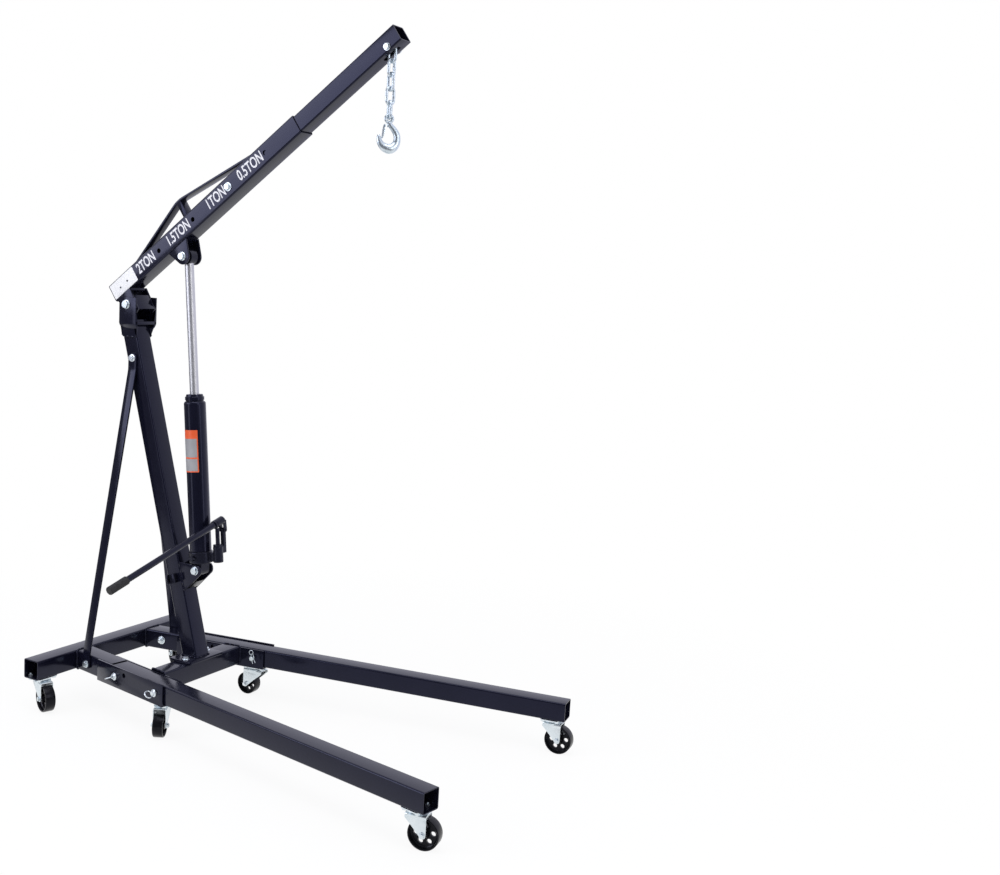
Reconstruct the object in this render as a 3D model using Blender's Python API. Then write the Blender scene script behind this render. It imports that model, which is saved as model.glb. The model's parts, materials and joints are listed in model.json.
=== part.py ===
"""Engine hoist crane: splayed legs on casters, a leaning mast, a lifting boom and a long ram jack.

Metres, +Z up. The legs point to +X, the pump handle to -Y, and the floor is z = 0.
Side -1 is the right-hand half of the hoist (-Y) and side +1 the left-hand half (+Y).
"""

import math

import bmesh
import bpy
from mathutils import Matrix, Vector

# Clearances
GAP = 0.0003
PIN_CLEARANCE = 0.0004
LEG_CLEARANCE = 0.0015
SLIDE_CLEARANCE = 0.001

# Base frame
BEAM_TUBE = 0.066
BEAM_WALL = 0.004
TUBE_CORNER = 0.006
REAR_BEAM_LENGTH = 0.717
SPLAY = math.radians(9.42)
STUB_SPACING = 0.320
LEG_TUBE = 0.0635
LEG_WALL = 0.0035
LEG_START = 0.207
LEG_END = 1.592
LEG_SLIT = 0.006
CHANNEL_WALL = 0.0055
CHANNEL_FLOOR = 0.005
CHANNEL_HEIGHT = 0.075
CHANNEL_START = 0.1325
CHANNEL_END = 0.486
CROSS_BEAM_FRONT = 0.394
CROSS_BEAM_LIFT = 0.001

# Ring pins
PIN_RADIUS = 0.0078
PIN_HEAD_RADIUS = 0.015
PIN_HEAD_LENGTH = 0.006
PIN_TAIL = 0.016
PULL_RING_RADIUS = 0.0175
PULL_RING_WIRE = 0.0019
REAR_PIN_PLACE = 0.233
FRONT_PIN_PLACE = 0.446
PIN_LIFT = 0.033
SPARE_HOLE_STEP = 0.048
SPARE_HOLE_RISE = 0.014

# Casters
CASTER_HEIGHT = 0.1145
WHEEL_RADIUS = 0.046
MID_WHEEL_RADIUS = 0.039
WHEEL_WIDTH = 0.033
WHEEL_WEB = 0.007
WHEEL_RIM = 0.0055
HUB_RADIUS = 0.012
WEB_HOLES = 6
WHEEL_STEPS = 20
AXLE_RADIUS = 0.005
CASTER_TRAIL = 0.030
CASTER_PLATE_LENGTH = 0.090
CASTER_PLATE_WIDTH = 0.062
CASTER_PLATE = 0.004
RACE_RADIUS = 0.027
RACE_HEIGHT = 0.007
FORK_PLATE = 0.003
FORK_CROWN = 0.004
FORK_BACK = 0.036
FORK_END_RADIUS = 0.010
FORK_LIP = 0.008
FORK_SIDE_ROOM = 0.002
REAR_CASTER_INSET = 0.048
MID_CASTER_INSET = 0.048
FRONT_CASTER_INSET = 0.052
REAR_HEADINGS = {-1: -20.0, 1: -28.0}
MID_HEADINGS = {-1: -60.0, 1: 182.0}
FRONT_HEADINGS = {-1: 10.0, 1: 6.0}

# Mast: the head, the pivot and the braces' upper ends are placed from the post's top
MAST_TUBE = 0.0635
MAST_WALL = 0.004
MAST_LENGTH = 1.158
MAST_LEAN = math.radians(15.85)
MAST_FRONT = 0.3896
BASE_PLATE_LENGTH = 0.096
BASE_PLATE_WIDTH = 0.160
BASE_PLATE = 0.009
BASE_PLATE_REAR = 0.313
CHEEK = 0.006
CHEEK_BACK = 0.0213
CHEEK_FORE = 0.0547
CHEEK_RISE = 0.0832
CHEEK_STEP_DROP = 0.0078
CHEEK_STEP_HEIGHT = 0.014
CHEEK_FLANGE = 0.026
CHEEK_OUTER_SPAN = 0.098
HEAD_PLATE_HEIGHT = 0.034
PIVOT_FORWARD = 0.0117
PIVOT_RISE = 0.0582
PIVOT_BOLT_RADIUS = 0.008

# Braces
BRACE_WIDTH = 0.030
BRACE = 0.007
BRACE_TOP_FORWARD = 0.0357
BRACE_TOP_DROP = 0.1218
BRACE_FOOT_PLACE = 0.063
BRACE_FOOT_Z = 0.149
BRACE_FLAT = 0.052

# Boom, in its own frame: x along the boom from the pivot, z square to it
BOOM_ANGLE = math.radians(36.64)
BOOM_TUBE = 0.063
BOOM_WALL = 0.003
BOOM_REAR = -0.050
BOOM_FRONT = 0.898
BOOM_LIFT = 0.043
BOOM_HOLE_RADIUS = 0.008
FIRST_BOOM_HOLE = 0.2105
BOOM_HOLE_PITCH = 0.180
BOOM_HOLES = 4
LOCKED_HOLE = 2
EXTENSION_TUBE = 0.055
EXTENSION_WALL = 0.004
EXTENSION_TAIL = 0.050
EXTENSION_TIP = 1.3346
HINGE_SIDE_ROOM = 0.002
HINGE_PLATE = 0.006
HINGE_REAR = -0.034
HINGE_FRONT = 0.074
HINGE_EYE_RADIUS = 0.026
TRUSS_WIDTH = 0.032
TRUSS_STRAP = 0.007
TRUSS_REAR = 0.064
TRUSS_APEX = 0.360
TRUSS_FRONT = 0.728
TRUSS_RISE = 0.066
TRUSS_FLAT = 0.026
TRUSS_POST = 0.020
RAM_EAR = 0.006
RAM_EAR_WEB = 0.0035
RAM_PIN_X = 0.2858
RAM_PIN_Z = 0.002
RAM_PIN_RADIUS = 0.008
RAM_EAR_REAR = 0.240
RAM_EAR_FRONT = 0.332
RAM_EAR_RADIUS = 0.027

# Ram jack, in its own frame: z along the ram from its lower pin
RAM_FOOT_X = 0.372
RAM_FOOT_Z = 0.492
RAM_LUG_WIDTH = 0.044
RAM_LUG_RADIUS = 0.018
RAM_BASE_RADIUS = 0.040
RAM_BASE_BOTTOM = 0.024
RAM_BASE_TOP = 0.064
CYLINDER_RADIUS = 0.036
CYLINDER_TOP = 0.562
CYLINDER_BORE = 0.026
SHOULDER_RADIUS = 0.016
GLAND_RADIUS = 0.0325
GLAND_TOP = 0.593
ROD_RADIUS = 0.0148
PISTON_LENGTH = 0.030
PISTON_DEPTH = 0.060
ROD_EYE_WALL = 0.0065
ROD_EYE_WIDTH = 0.030
LINKAGE_ROOM = 0.0112
PUMP_REACH = 0.066
PUMP_SHIFT = 0.012
PUMP_BARREL_RADIUS = 0.0165
PUMP_BARREL_TOP = 0.080
PLUNGER_RADIUS = 0.007
SOCKET_RADIUS = 0.012
SOCKET_LENGTH = 0.046
SOCKET_HEIGHT = 0.160
FULCRUM_SHIFT = 0.040
FULCRUM_HEIGHT = 0.134
FULCRUM_POST = 0.014
FULCRUM_PIN_RADIUS = 0.004
LEVER_CHEEK = 0.004
HANDLE_RADIUS = 0.008
HANDLE_SLOPE = math.radians(15.4)
HANDLE_REACH = 0.500
GRIP_RADIUS = 0.0128
GRIP_LENGTH = 0.078
VALVE_RADIUS = 0.005
VALVE_HEAD_RADIUS = 0.009
VALVE_LENGTH = 0.022
MAST_EAR = 0.006
MAST_EAR_TOP = 0.510
MAST_EAR_BOTTOM = 0.414
MAST_EAR_WEB = 0.430
FOOT_PIN_RADIUS = 0.008

# Chain and hook
CHAIN_BOLT_RADIUS = 0.0055
CHAIN_BOLT_SETBACK = 0.049
CHAIN_BOLT_LIFT = 0.0125
CHAIN_SLOT_BACK = 0.041
CHAIN_SLOT_FRONT = 0.022
LINKS = 5
LINK_PITCH = 0.041
LINK_WIRE = 0.0085
LINK_WIDTH = 0.030
LINK_ROOM = 0.0007
LINK_TWIST = math.radians(-9)
HOOK_EYE_RADIUS = 0.0105
HOOK_EYE_WIRE = 0.009
# The hook's middle line, from the neck round the bowl to the point, as places below the eye's
# middle and the bar's radius there
HOOK_LINE = [
    (-0.001, -0.0105, 0.0050),
    (0.006, -0.0200, 0.0068),
    (0.017, -0.0320, 0.0080),
    (0.0245, -0.0445, 0.0087),
    (0.0265, -0.0580, 0.0092),
    (0.0240, -0.0710, 0.0102),
    (0.0155, -0.0820, 0.0120),
    (0.0030, -0.0870, 0.0128),
    (-0.0105, -0.0835, 0.0116),
    (-0.0200, -0.0760, 0.0094),
    (-0.0255, -0.0675, 0.0078),
    (-0.0280, -0.0580, 0.0060),
    (-0.0290, -0.0510, 0.0042),
    (-0.0292, -0.0460, 0.0016),
]
LATCH_REST = 11
LATCH_SHEET = 0.002
LATCH_LUG = 0.006
LATCH_EYE_RADIUS = 0.0038
LATCH_PIN_RADIUS = 0.0016
LATCH_SETBACK = 0.0115
LATCH_DROP = 0.021
LATCH_ROOM = 0.001

# Bolt heads
HEAD_RADIUS = 0.0135
HEAD_HEIGHT = 0.009

# Finishes: colour, metallic, roughness
FINISHES = {
    "black_paint": ((0.018, 0.018, 0.026, 1.0), 0.0, 0.30),
    "zinc": ((0.62, 0.66, 0.70, 1.0), 1.0, 0.32),
    "chrome": ((0.80, 0.80, 0.82, 1.0), 1.0, 0.10),
    "cast_iron": ((0.020, 0.020, 0.022, 1.0), 0.2, 0.45),
    "rubber": ((0.015, 0.015, 0.016, 1.0), 0.0, 0.75),
}


# Worked-out places
CHANNEL_TOP_OF_FLOOR = CASTER_HEIGHT - GAP
CHANNEL_BOTTOM = CHANNEL_TOP_OF_FLOOR - CHANNEL_FLOOR
CHANNEL_INNER = LEG_TUBE + 2 * LEG_CLEARANCE
CHANNEL_OUTER = CHANNEL_INNER + 2 * CHANNEL_WALL
STUB_WIDTH = CHANNEL_INNER - 2 * GAP
PIN_Z = CASTER_HEIGHT + PIN_LIFT
CROSS_BEAM_BOTTOM = CASTER_HEIGHT + CROSS_BEAM_LIFT
BASE_PLATE_BOTTOM = CROSS_BEAM_BOTTOM + BEAM_TUBE + GAP
MAST_FOOT = BASE_PLATE_BOTTOM + BASE_PLATE
MAST_CENTRE = MAST_FRONT - MAST_TUBE / math.cos(MAST_LEAN) / 2
MAST_TOP_X = MAST_CENTRE - MAST_LENGTH * math.sin(MAST_LEAN)
MAST_TOP_Z = MAST_FOOT + MAST_LENGTH * math.cos(MAST_LEAN)
CHEEK_REAR = MAST_TOP_X - CHEEK_BACK
CHEEK_FRONT = MAST_TOP_X + CHEEK_FORE
CHEEK_TOP = MAST_TOP_Z + CHEEK_RISE
CHEEK_STEP = MAST_TOP_Z - CHEEK_STEP_DROP
PIVOT_X = MAST_TOP_X + PIVOT_FORWARD
PIVOT_Z = MAST_TOP_Z + PIVOT_RISE
BRACE_TOP_X = MAST_TOP_X + BRACE_TOP_FORWARD
BRACE_TOP_Z = MAST_TOP_Z - BRACE_TOP_DROP
HINGE_WIDTH = CHEEK_OUTER_SPAN - 2 * (CHEEK + HINGE_SIDE_ROOM)
BOOM_TOP = BOOM_LIFT + BOOM_TUBE
BOOM_CENTRE = BOOM_LIFT + BOOM_TUBE / 2
LOCK_PLACE = FIRST_BOOM_HOLE + LOCKED_HOLE * BOOM_HOLE_PITCH
CHAIN_BOLT_X = EXTENSION_TIP - CHAIN_BOLT_SETBACK
CHAIN_BOLT_Z = BOOM_CENTRE - EXTENSION_TUBE / 2 + CHAIN_BOLT_LIFT
ROD_EYE_BORE = RAM_PIN_RADIUS + LINKAGE_ROOM
ROD_EYE_RADIUS = ROD_EYE_BORE + ROD_EYE_WALL


def clear_scene():
    for thing in list(bpy.data.objects):
        bpy.data.objects.remove(thing, do_unlink=True)


def finish_for(name, finish):
    colour, metallic, roughness = FINISHES[finish]
    material = bpy.data.materials.new(f"{name}_{finish}")
    material.use_nodes = True
    shader = material.node_tree.nodes["Principled BSDF"]
    shader.inputs["Base Color"].default_value = colour
    shader.inputs["Metallic"].default_value = metallic
    shader.inputs["Roughness"].default_value = roughness
    return material


def empty(name, parent=None, location=(0, 0, 0), rotation=(0, 0, 0)):
    thing = bpy.data.objects.new(name, None)
    bpy.context.scene.collection.objects.link(thing)
    thing.parent = parent
    thing.location = location
    thing.rotation_euler = rotation
    return thing


def mesh_from(bm):
    """Turns a bmesh into a closed mesh with its faces pointing out."""
    bmesh.ops.recalc_face_normals(bm, faces=bm.faces)
    mesh = bpy.data.meshes.new("shape")
    bm.to_mesh(mesh)
    bm.free()
    return mesh


def piece(name, mesh, finish, parent, location=(0, 0, 0), rotation=(0, 0, 0)):
    """One named sub-part with its own finish."""
    thing = bpy.data.objects.new(name, mesh.copy())
    bpy.context.scene.collection.objects.link(thing)
    thing.parent = parent
    thing.location = location
    thing.rotation_euler = rotation
    thing.data.materials.clear()
    thing.data.materials.append(finish_for(name, finish))
    thing.data.shade_smooth()
    thing.data.set_sharp_from_angle(angle=math.radians(35))
    return thing


def combined(operation, first, others):
    """The first mesh with each of the others joined to it or cut from it."""
    body = bpy.data.objects.new("body", first)
    bpy.context.scene.collection.objects.link(body)
    tools = []
    for mesh in others:
        tool = bpy.data.objects.new("tool", mesh)
        bpy.context.scene.collection.objects.link(tool)
        step = body.modifiers.new("step", "BOOLEAN")
        step.operation = operation
        step.object = tool
        step.solver = "EXACT"
        tools.append(tool)
    view = bpy.context.evaluated_depsgraph_get()
    view.update()
    mesh = bpy.data.meshes.new_from_object(body.evaluated_get(view))
    for thing in [body, *tools]:
        bpy.data.objects.remove(thing, do_unlink=True)
    return mesh


def joined(first, *others):
    return combined("UNION", first, others)


def cut(first, *others):
    return combined("DIFFERENCE", first, others)


def moved(mesh, matrix):
    mesh.transform(matrix)
    if matrix.is_negative:
        mesh.flip_normals()
    return mesh


def arc(centre, radius, start, end, steps):
    """Points on an arc, angles in degrees, both ends included."""
    turns = [math.radians(start + (end - start) * i / steps) for i in range(steps + 1)]
    return [(centre[0] + radius * math.cos(t), centre[1] + radius * math.sin(t)) for t in turns]


def circle(centre, radius, steps=12):
    return arc(centre, radius, 0, 360, steps)[:-1]


def rounded_rectangle(width, height, corner, centre=(0, 0), steps=2):
    """A rectangle with round corners, as one loop of points."""
    loop = []
    for quarter, (sx, sy) in enumerate(((1, 1), (-1, 1), (-1, -1), (1, -1))):
        middle = (
            centre[0] + sx * (width / 2 - corner),
            centre[1] + sy * (height / 2 - corner),
        )
        loop += arc(middle, corner, 90 * quarter, 90 * quarter + 90, steps)
    return loop


def extruded(loops, start, end, axis):
    """A flat outline, with holes, drawn square to an axis and extruded along it.

    The outline's two coordinates are the other two axes, in x, y, z order.
    """
    order = {"x": (2, 0, 1), "y": (0, 2, 1), "z": (0, 1, 2)}[axis]
    bm = bmesh.new()
    for loop in loops:
        corners = []
        for a, b in loop:
            flat = (a, b, start)
            corners.append(bm.verts.new([flat[k] for k in order]))
        for one, two in zip(corners, corners[1:] + corners[:1]):
            bm.edges.new((one, two))
    filled = bmesh.ops.triangle_fill(bm, edges=bm.edges[:], use_beauty=True)
    faces = [f for f in filled["geom"] if isinstance(f, bmesh.types.BMFace)]
    grown = bmesh.ops.extrude_face_region(bm, geom=faces)
    tops = [v for v in grown["geom"] if isinstance(v, bmesh.types.BMVert)]
    way = Vector([(end - start) * (k == 2) for k in order])
    bmesh.ops.translate(bm, verts=tops, vec=way)
    return mesh_from(bm)


def square_tube(width, height, wall, start, end, axis="x", centre=(0, 0)):
    """A welded rectangular tube with rounded corners and open ends."""
    outer = rounded_rectangle(width, height, TUBE_CORNER, centre)
    inner_corner = max(TUBE_CORNER - wall, TUBE_CORNER / 4)
    inner = rounded_rectangle(width - 2 * wall, height - 2 * wall, inner_corner, centre)
    return extruded([outer, inner], start, end, axis)


def box(low, high):
    bm = bmesh.new()
    bmesh.ops.create_cube(bm, size=1)
    middle = (Vector(low) + Vector(high)) / 2
    size = Vector(high) - Vector(low)
    bmesh.ops.transform(bm, matrix=Matrix.LocRotScale(middle, None, size), verts=bm.verts)
    return mesh_from(bm)


def rod(start, end, radius, steps=12):
    """A round bar or, with few steps, a hexagon bar, from one point to another."""
    start, end = Vector(start), Vector(end)
    bm = bmesh.new()
    turn = (end - start).to_track_quat("Z", "Y")
    bmesh.ops.create_cone(
        bm,
        cap_ends=True,
        segments=steps,
        radius1=radius,
        radius2=radius,
        depth=(end - start).length,
        matrix=Matrix.LocRotScale((start + end) / 2, turn, None),
    )
    return mesh_from(bm)


def turned(profile, steps, closed=False):
    """A profile of (radius, height) points spun round Z."""
    bm = bmesh.new()
    points = [bm.verts.new((r, 0, z)) for r, z in profile]
    pairs = list(zip(points, points[1:]))
    if closed:
        pairs.append((points[-1], points[0]))
    for one, two in pairs:
        bm.edges.new((one, two))
    bmesh.ops.spin(
        bm,
        geom=bm.verts[:] + bm.edges[:],
        cent=(0, 0, 0),
        axis=(0, 0, 1),
        angle=2 * math.pi,
        steps=steps,
        use_merge=True,
    )
    bmesh.ops.remove_doubles(bm, verts=bm.verts, dist=1e-6)
    return mesh_from(bm)


def bent_bar(points, radii, cyclic, sides=1):
    """A round bar along points, its radius given at each of them."""
    curve = bpy.data.curves.new("bar", "CURVE")
    curve.dimensions = "3D"
    curve.bevel_depth = 1.0
    curve.bevel_resolution = sides
    curve.use_fill_caps = not cyclic
    spline = curve.splines.new("POLY")
    spline.points.add(len(points) - 1)
    for knot, place, radius in zip(spline.points, points, radii):
        knot.co = (*place, 1)
        knot.radius = radius
    spline.use_cyclic_u = cyclic
    thing = bpy.data.objects.new("bar", curve)
    bpy.context.scene.collection.objects.link(thing)
    view = bpy.context.evaluated_depsgraph_get()
    mesh = bpy.data.meshes.new_from_object(thing.evaluated_get(view))
    bpy.data.objects.remove(thing, do_unlink=True)
    bm = bmesh.new()
    bm.from_mesh(mesh)
    bmesh.ops.remove_doubles(bm, verts=bm.verts, dist=1e-6)
    return mesh_from(bm)


def bolt(radius, start, end, head_radius=HEAD_RADIUS):
    """A hexagon bolt across the hoist: head at the start, nut at the end, both outside them."""
    way = Vector((0, 1, 0)) * math.copysign(1, end - start)
    first, last = Vector((0, start, 0)), Vector((0, end, 0))
    shank = rod(first - way * HEAD_HEIGHT / 2, last + way * HEAD_HEIGHT / 2, radius)
    head = rod(first - way * HEAD_HEIGHT, first, head_radius, 6)
    nut = rod(last, last + way * HEAD_HEIGHT, head_radius, 6)
    return joined(shank, head, nut)


def side_name(side):
    return "left" if side > 0 else "right"


def splay_frame(hoist, side):
    """An empty at the rear beam's front face with its x axis along one splayed leg."""
    return empty(
        f"{side_name(side)}_splay",
        hoist,
        (0, side * STUB_SPACING / 2, 0),
        (0, 0, side * SPLAY),
    )


def tilt(mesh, place, centre, slope):
    """Shears the end of a bar at x = place, so that the cut follows slope across y."""
    for vertex in mesh.vertices:
        if abs(vertex.co.x - place) < 1e-6:
            vertex.co.x += (vertex.co.y - centre) * slope
    return mesh


def build_rear_beam(hoist):
    middle = (-BEAM_TUBE / 2, CASTER_HEIGHT + BEAM_TUBE / 2)
    half = REAR_BEAM_LENGTH / 2
    tube = square_tube(BEAM_TUBE, BEAM_TUBE, BEAM_WALL, -half, half, "y", middle)
    piece("rear_beam", tube, "black_paint", hoist)


def build_stub(frame, side):
    """The short arm welded to the rear beam, its end cut to lie along the beam."""
    middle = (0, CASTER_HEIGHT + BEAM_TUBE / 2)
    end = LEG_START - LEG_SLIT
    start = GAP / math.cos(SPLAY)
    tube = square_tube(STUB_WIDTH, BEAM_TUBE, BEAM_WALL, start, end, "x", middle)
    tilt(tube, start, 0, side * math.tan(SPLAY))
    piece(f"{side_name(side)}_stub", tube, "black_paint", frame)


def cross_bores(places, radius, reach):
    """Round bars across a splayed tube, to cut its pin holes."""
    return [rod((x, -reach, z), (x, reach, z), radius) for x, z in places]


def build_channel(frame, side):
    """The open-topped channel that holds a leg."""
    half = CHANNEL_OUTER / 2
    inner = CHANNEL_INNER / 2
    top = CHANNEL_BOTTOM + CHANNEL_HEIGHT
    section = [
        (-half, top),
        (-half, CHANNEL_BOTTOM),
        (half, CHANNEL_BOTTOM),
        (half, top),
        (inner, top),
        (inner, CHANNEL_TOP_OF_FLOOR),
        (-inner, CHANNEL_TOP_OF_FLOOR),
        (-inner, top),
    ]
    body = extruded([section], CHANNEL_START, CHANNEL_END, "x")
    spare = (REAR_PIN_PLACE + SPARE_HOLE_STEP, PIN_Z + SPARE_HOLE_RISE)
    places = [(REAR_PIN_PLACE, PIN_Z), (FRONT_PIN_PLACE, PIN_Z), spare]
    body = cut(body, *cross_bores(places, PIN_RADIUS + PIN_CLEARANCE, CHANNEL_OUTER))
    piece(f"{side_name(side)}_channel", body, "black_paint", frame)


def build_leg(frame, side):
    middle = (0, CASTER_HEIGHT + LEG_TUBE / 2)
    tube = square_tube(LEG_TUBE, LEG_TUBE, LEG_WALL, LEG_START, LEG_END, "x", middle)
    places = [(REAR_PIN_PLACE, PIN_Z), (FRONT_PIN_PLACE, PIN_Z)]
    tube = cut(tube, *cross_bores(places, PIN_RADIUS + PIN_CLEARANCE, LEG_TUBE))
    piece(f"{side_name(side)}_leg", tube, "black_paint", frame)


def ring_pin(turn):
    """A lock pin across y with a disc head, a drilled boss and its pull ring."""
    outer = CHANNEL_OUTER / 2 + GAP
    head = rod((0, -outer, 0), (0, -outer - PIN_HEAD_LENGTH, 0), PIN_HEAD_RADIUS, 14)
    boss_end = -outer - PIN_HEAD_LENGTH - 2 * PULL_RING_WIRE
    shank = rod((0, CHANNEL_OUTER / 2 + PIN_TAIL, 0), (0, boss_end, 0), PIN_RADIUS)
    ring_middle = boss_end + PULL_RING_WIRE / 2 - PULL_RING_RADIUS
    loop = [(x, y + ring_middle, 0) for x, y in circle((0, 0), PULL_RING_RADIUS, 12)]
    ring = bent_bar(loop, [PULL_RING_WIRE] * len(loop), True)
    ring.transform(Matrix.Rotation(turn, 4, "Y"))
    return joined(shank, head, ring)


def build_ring_pins(frame, side):
    turns = {"rear": math.radians(8), "front": math.radians(38)}
    places = {"rear": REAR_PIN_PLACE, "front": FRONT_PIN_PLACE}
    for where, place in places.items():
        mesh = ring_pin(turns[where])
        if side > 0:
            moved(mesh, Matrix.Scale(-1, 4, (0, 1, 0)))
        name = f"{side_name(side)}_{where}_ring_pin"
        piece(name, mesh, "zinc", frame, (place, 0, PIN_Z))


def channel_inner_y(x):
    """Half the clear width between the two channels at a place along the hoist."""
    along = (x - CHANNEL_OUTER / 2 * math.sin(SPLAY)) / math.cos(SPLAY)
    out = STUB_SPACING / 2 + along * math.sin(SPLAY)
    return out - CHANNEL_OUTER / 2 * math.cos(SPLAY)


def build_cross_beam(hoist):
    """The beam that carries the mast, its ends cut to the splay of the channels."""
    middle = (CROSS_BEAM_FRONT - BEAM_TUBE / 2, CROSS_BEAM_BOTTOM + BEAM_TUBE / 2)
    tube = square_tube(BEAM_TUBE, BEAM_TUBE, BEAM_WALL, -1, 1, "y", middle)
    for vertex in tube.vertices:
        reach = channel_inner_y(vertex.co.x) - GAP / math.cos(SPLAY)
        vertex.co.y *= reach
    piece("cross_beam", tube, "black_paint", hoist)


def build_mast(hoist):
    plate = rounded_rectangle(
        BASE_PLATE_LENGTH,
        BASE_PLATE_WIDTH,
        TUBE_CORNER,
        (BASE_PLATE_REAR + BASE_PLATE_LENGTH / 2, 0),
    )
    top = BASE_PLATE_BOTTOM + BASE_PLATE
    base = extruded([plate], BASE_PLATE_BOTTOM, top, "z")
    piece("mast_base_plate", base, "black_paint", hoist)
    tube = square_tube(MAST_TUBE, MAST_TUBE, MAST_WALL, 0, MAST_LENGTH, "z")
    for vertex in tube.vertices:
        if vertex.co.z < MAST_LENGTH / 2:
            vertex.co.z = GAP / math.cos(MAST_LEAN) - vertex.co.x * math.tan(MAST_LEAN)
    place = (MAST_CENTRE, 0, MAST_FOOT)
    piece("mast_post", tube, "black_paint", hoist, place, (0, -MAST_LEAN, 0))


def build_mast_head(hoist):
    """Two joggled cheeks on the mast's sides, tied by a plate in front."""
    outer = CHEEK_OUTER_SPAN / 2
    seat = MAST_TUBE / 2 + GAP
    low = CHEEK_STEP - CHEEK_STEP_HEIGHT
    profile = [
        (outer, CHEEK_TOP),
        (outer, CHEEK_STEP),
        (seat + CHEEK, low),
        (seat + CHEEK, low - CHEEK_FLANGE),
        (seat, low - CHEEK_FLANGE),
        (seat, low + CHEEK / 3),
        (outer - CHEEK, CHEEK_STEP + CHEEK / 3),
        (outer - CHEEK, CHEEK_TOP),
    ]
    left = extruded([profile], CHEEK_REAR, CHEEK_FRONT, "x")
    right = extruded([[(-y, z) for y, z in profile]], CHEEK_REAR, CHEEK_FRONT, "x")
    inside = outer - CHEEK / 2
    tie = box(
        (CHEEK_FRONT - CHEEK, -inside, CHEEK_STEP + CHEEK / 2),
        (CHEEK_FRONT, inside, CHEEK_STEP + HEAD_PLATE_HEIGHT),
    )
    hole = rod(
        (PIVOT_X, -CHEEK_OUTER_SPAN, PIVOT_Z),
        (PIVOT_X, CHEEK_OUTER_SPAN, PIVOT_Z),
        PIVOT_BOLT_RADIUS + PIN_CLEARANCE,
    )
    piece("mast_head", cut(joined(left, right, tie), hole), "black_paint", hoist)
    span = CHEEK_OUTER_SPAN / 2 + GAP
    shank = bolt(PIVOT_BOLT_RADIUS, -span, span)
    piece("boom_pivot_bolt", shank, "zinc", hoist, (PIVOT_X, 0, PIVOT_Z))


def brace_outline():
    """Rows of the brace's two edges, from its foot to its top, and its round ends."""
    foot = Vector((BRACE_FOOT_PLACE * math.cos(SPLAY), BRACE_FOOT_Z))
    top = Vector((BRACE_TOP_X, BRACE_TOP_Z))
    along = (top - foot).normalized()
    across = Vector((-along.y, along.x)) * BRACE_WIDTH / 2
    length = (top - foot).length
    rows = []
    for distance in (0, BRACE_FLAT, length - BRACE_FLAT, length):
        middle = foot + along * distance
        rows.append((middle + across, middle - across))
    turn = math.degrees(math.atan2(along.y, along.x))
    half = BRACE_WIDTH / 2
    foot_end = arc(foot, half, turn + 90, turn + 270, 10)[1:-1]
    top_end = arc(top, half, turn - 90, turn + 90, 10)[1:-1]
    return rows, foot_end, top_end


def brace_inner_y(z, x):
    """Distance from the middle plane of the brace's inner face: mast side above, stub side below."""
    at_mast = MAST_TUBE / 2 + GAP
    stub_side = (STUB_WIDTH / 2 + GAP) / math.cos(SPLAY)
    at_stub = STUB_SPACING / 2 + x * math.tan(SPLAY) + stub_side
    low = BRACE_FOOT_Z + BRACE_FLAT
    high = BRACE_TOP_Z - BRACE_FLAT
    share = min(max((z - low) / (high - low), 0), 1)
    return at_stub + (at_mast - at_stub) * share


def build_brace(hoist, side):
    """A flat bar from the mast's side to the stub's outer side, bent twice, with round ends."""
    rows, foot_end, top_end = brace_outline()
    bm = bmesh.new()

    def corner(point):
        y = side * brace_inner_y(point[1], point[0])
        return bm.verts.new((point[0], y, point[1]))

    edges = [(corner(left), corner(right)) for left, right in rows]
    for (a, b), (c, d) in zip(edges, edges[1:]):
        bm.faces.new((a, b, d, c))
    bm.faces.new([edges[0][0], *(corner(p) for p in foot_end), edges[0][1]])
    bm.faces.new([edges[-1][1], *(corner(p) for p in top_end), edges[-1][0]])
    grown = bmesh.ops.extrude_face_region(bm, geom=bm.faces[:])
    outside = [v for v in grown["geom"] if isinstance(v, bmesh.types.BMVert)]
    bmesh.ops.translate(bm, verts=outside, vec=(0, side * BRACE, 0))
    bmesh.ops.triangulate(bm, faces=bm.faces)
    piece(f"{side_name(side)}_brace", mesh_from(bm), "black_paint", hoist)


def build_ram_mast_bracket(hoist):
    """Two ears on the mast's front with a sloping web between them, and the pin they carry."""
    lean = math.tan(MAST_LEAN)

    def mast_face(z):
        return MAST_FRONT - (z - MAST_FOOT) * lean + GAP / math.cos(MAST_LEAN)

    nose = RAM_LUG_RADIUS + MAST_EAR
    rear_top = (mast_face(MAST_EAR_TOP), MAST_EAR_TOP)
    rear_low = (mast_face(MAST_EAR_BOTTOM), MAST_EAR_BOTTOM)
    front = arc((RAM_FOOT_X, RAM_FOOT_Z), nose, -30, 49, 6)
    outline = [rear_low, *front, rear_top]
    hole = circle((RAM_FOOT_X, RAM_FOOT_Z), FOOT_PIN_RADIUS + PIN_CLEARANCE)
    half = MAST_TUBE / 2
    right = extruded([outline, hole], -half, -half + MAST_EAR, "y")
    left = extruded([outline, hole], half - MAST_EAR, half, "y")
    web_rise = Vector(front[0]) - Vector(rear_low)
    web_start = Vector(rear_low) + web_rise * 0.12
    web_end = Vector(rear_low) + web_rise * 0.52
    into = Vector((-web_rise.y, web_rise.x)).normalized() * MAST_EAR
    strip = [web_start, web_end, web_end + into, web_start + into]
    web = extruded([strip], -half + MAST_EAR / 2, half - MAST_EAR / 2, "y")
    piece("ram_mast_bracket", joined(right, left, web), "black_paint", hoist)
    span = half + GAP
    place = (RAM_FOOT_X, 0, RAM_FOOT_Z)
    piece("ram_foot_pin", bolt(FOOT_PIN_RADIUS, -span, span), "zinc", hoist, place)


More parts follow.
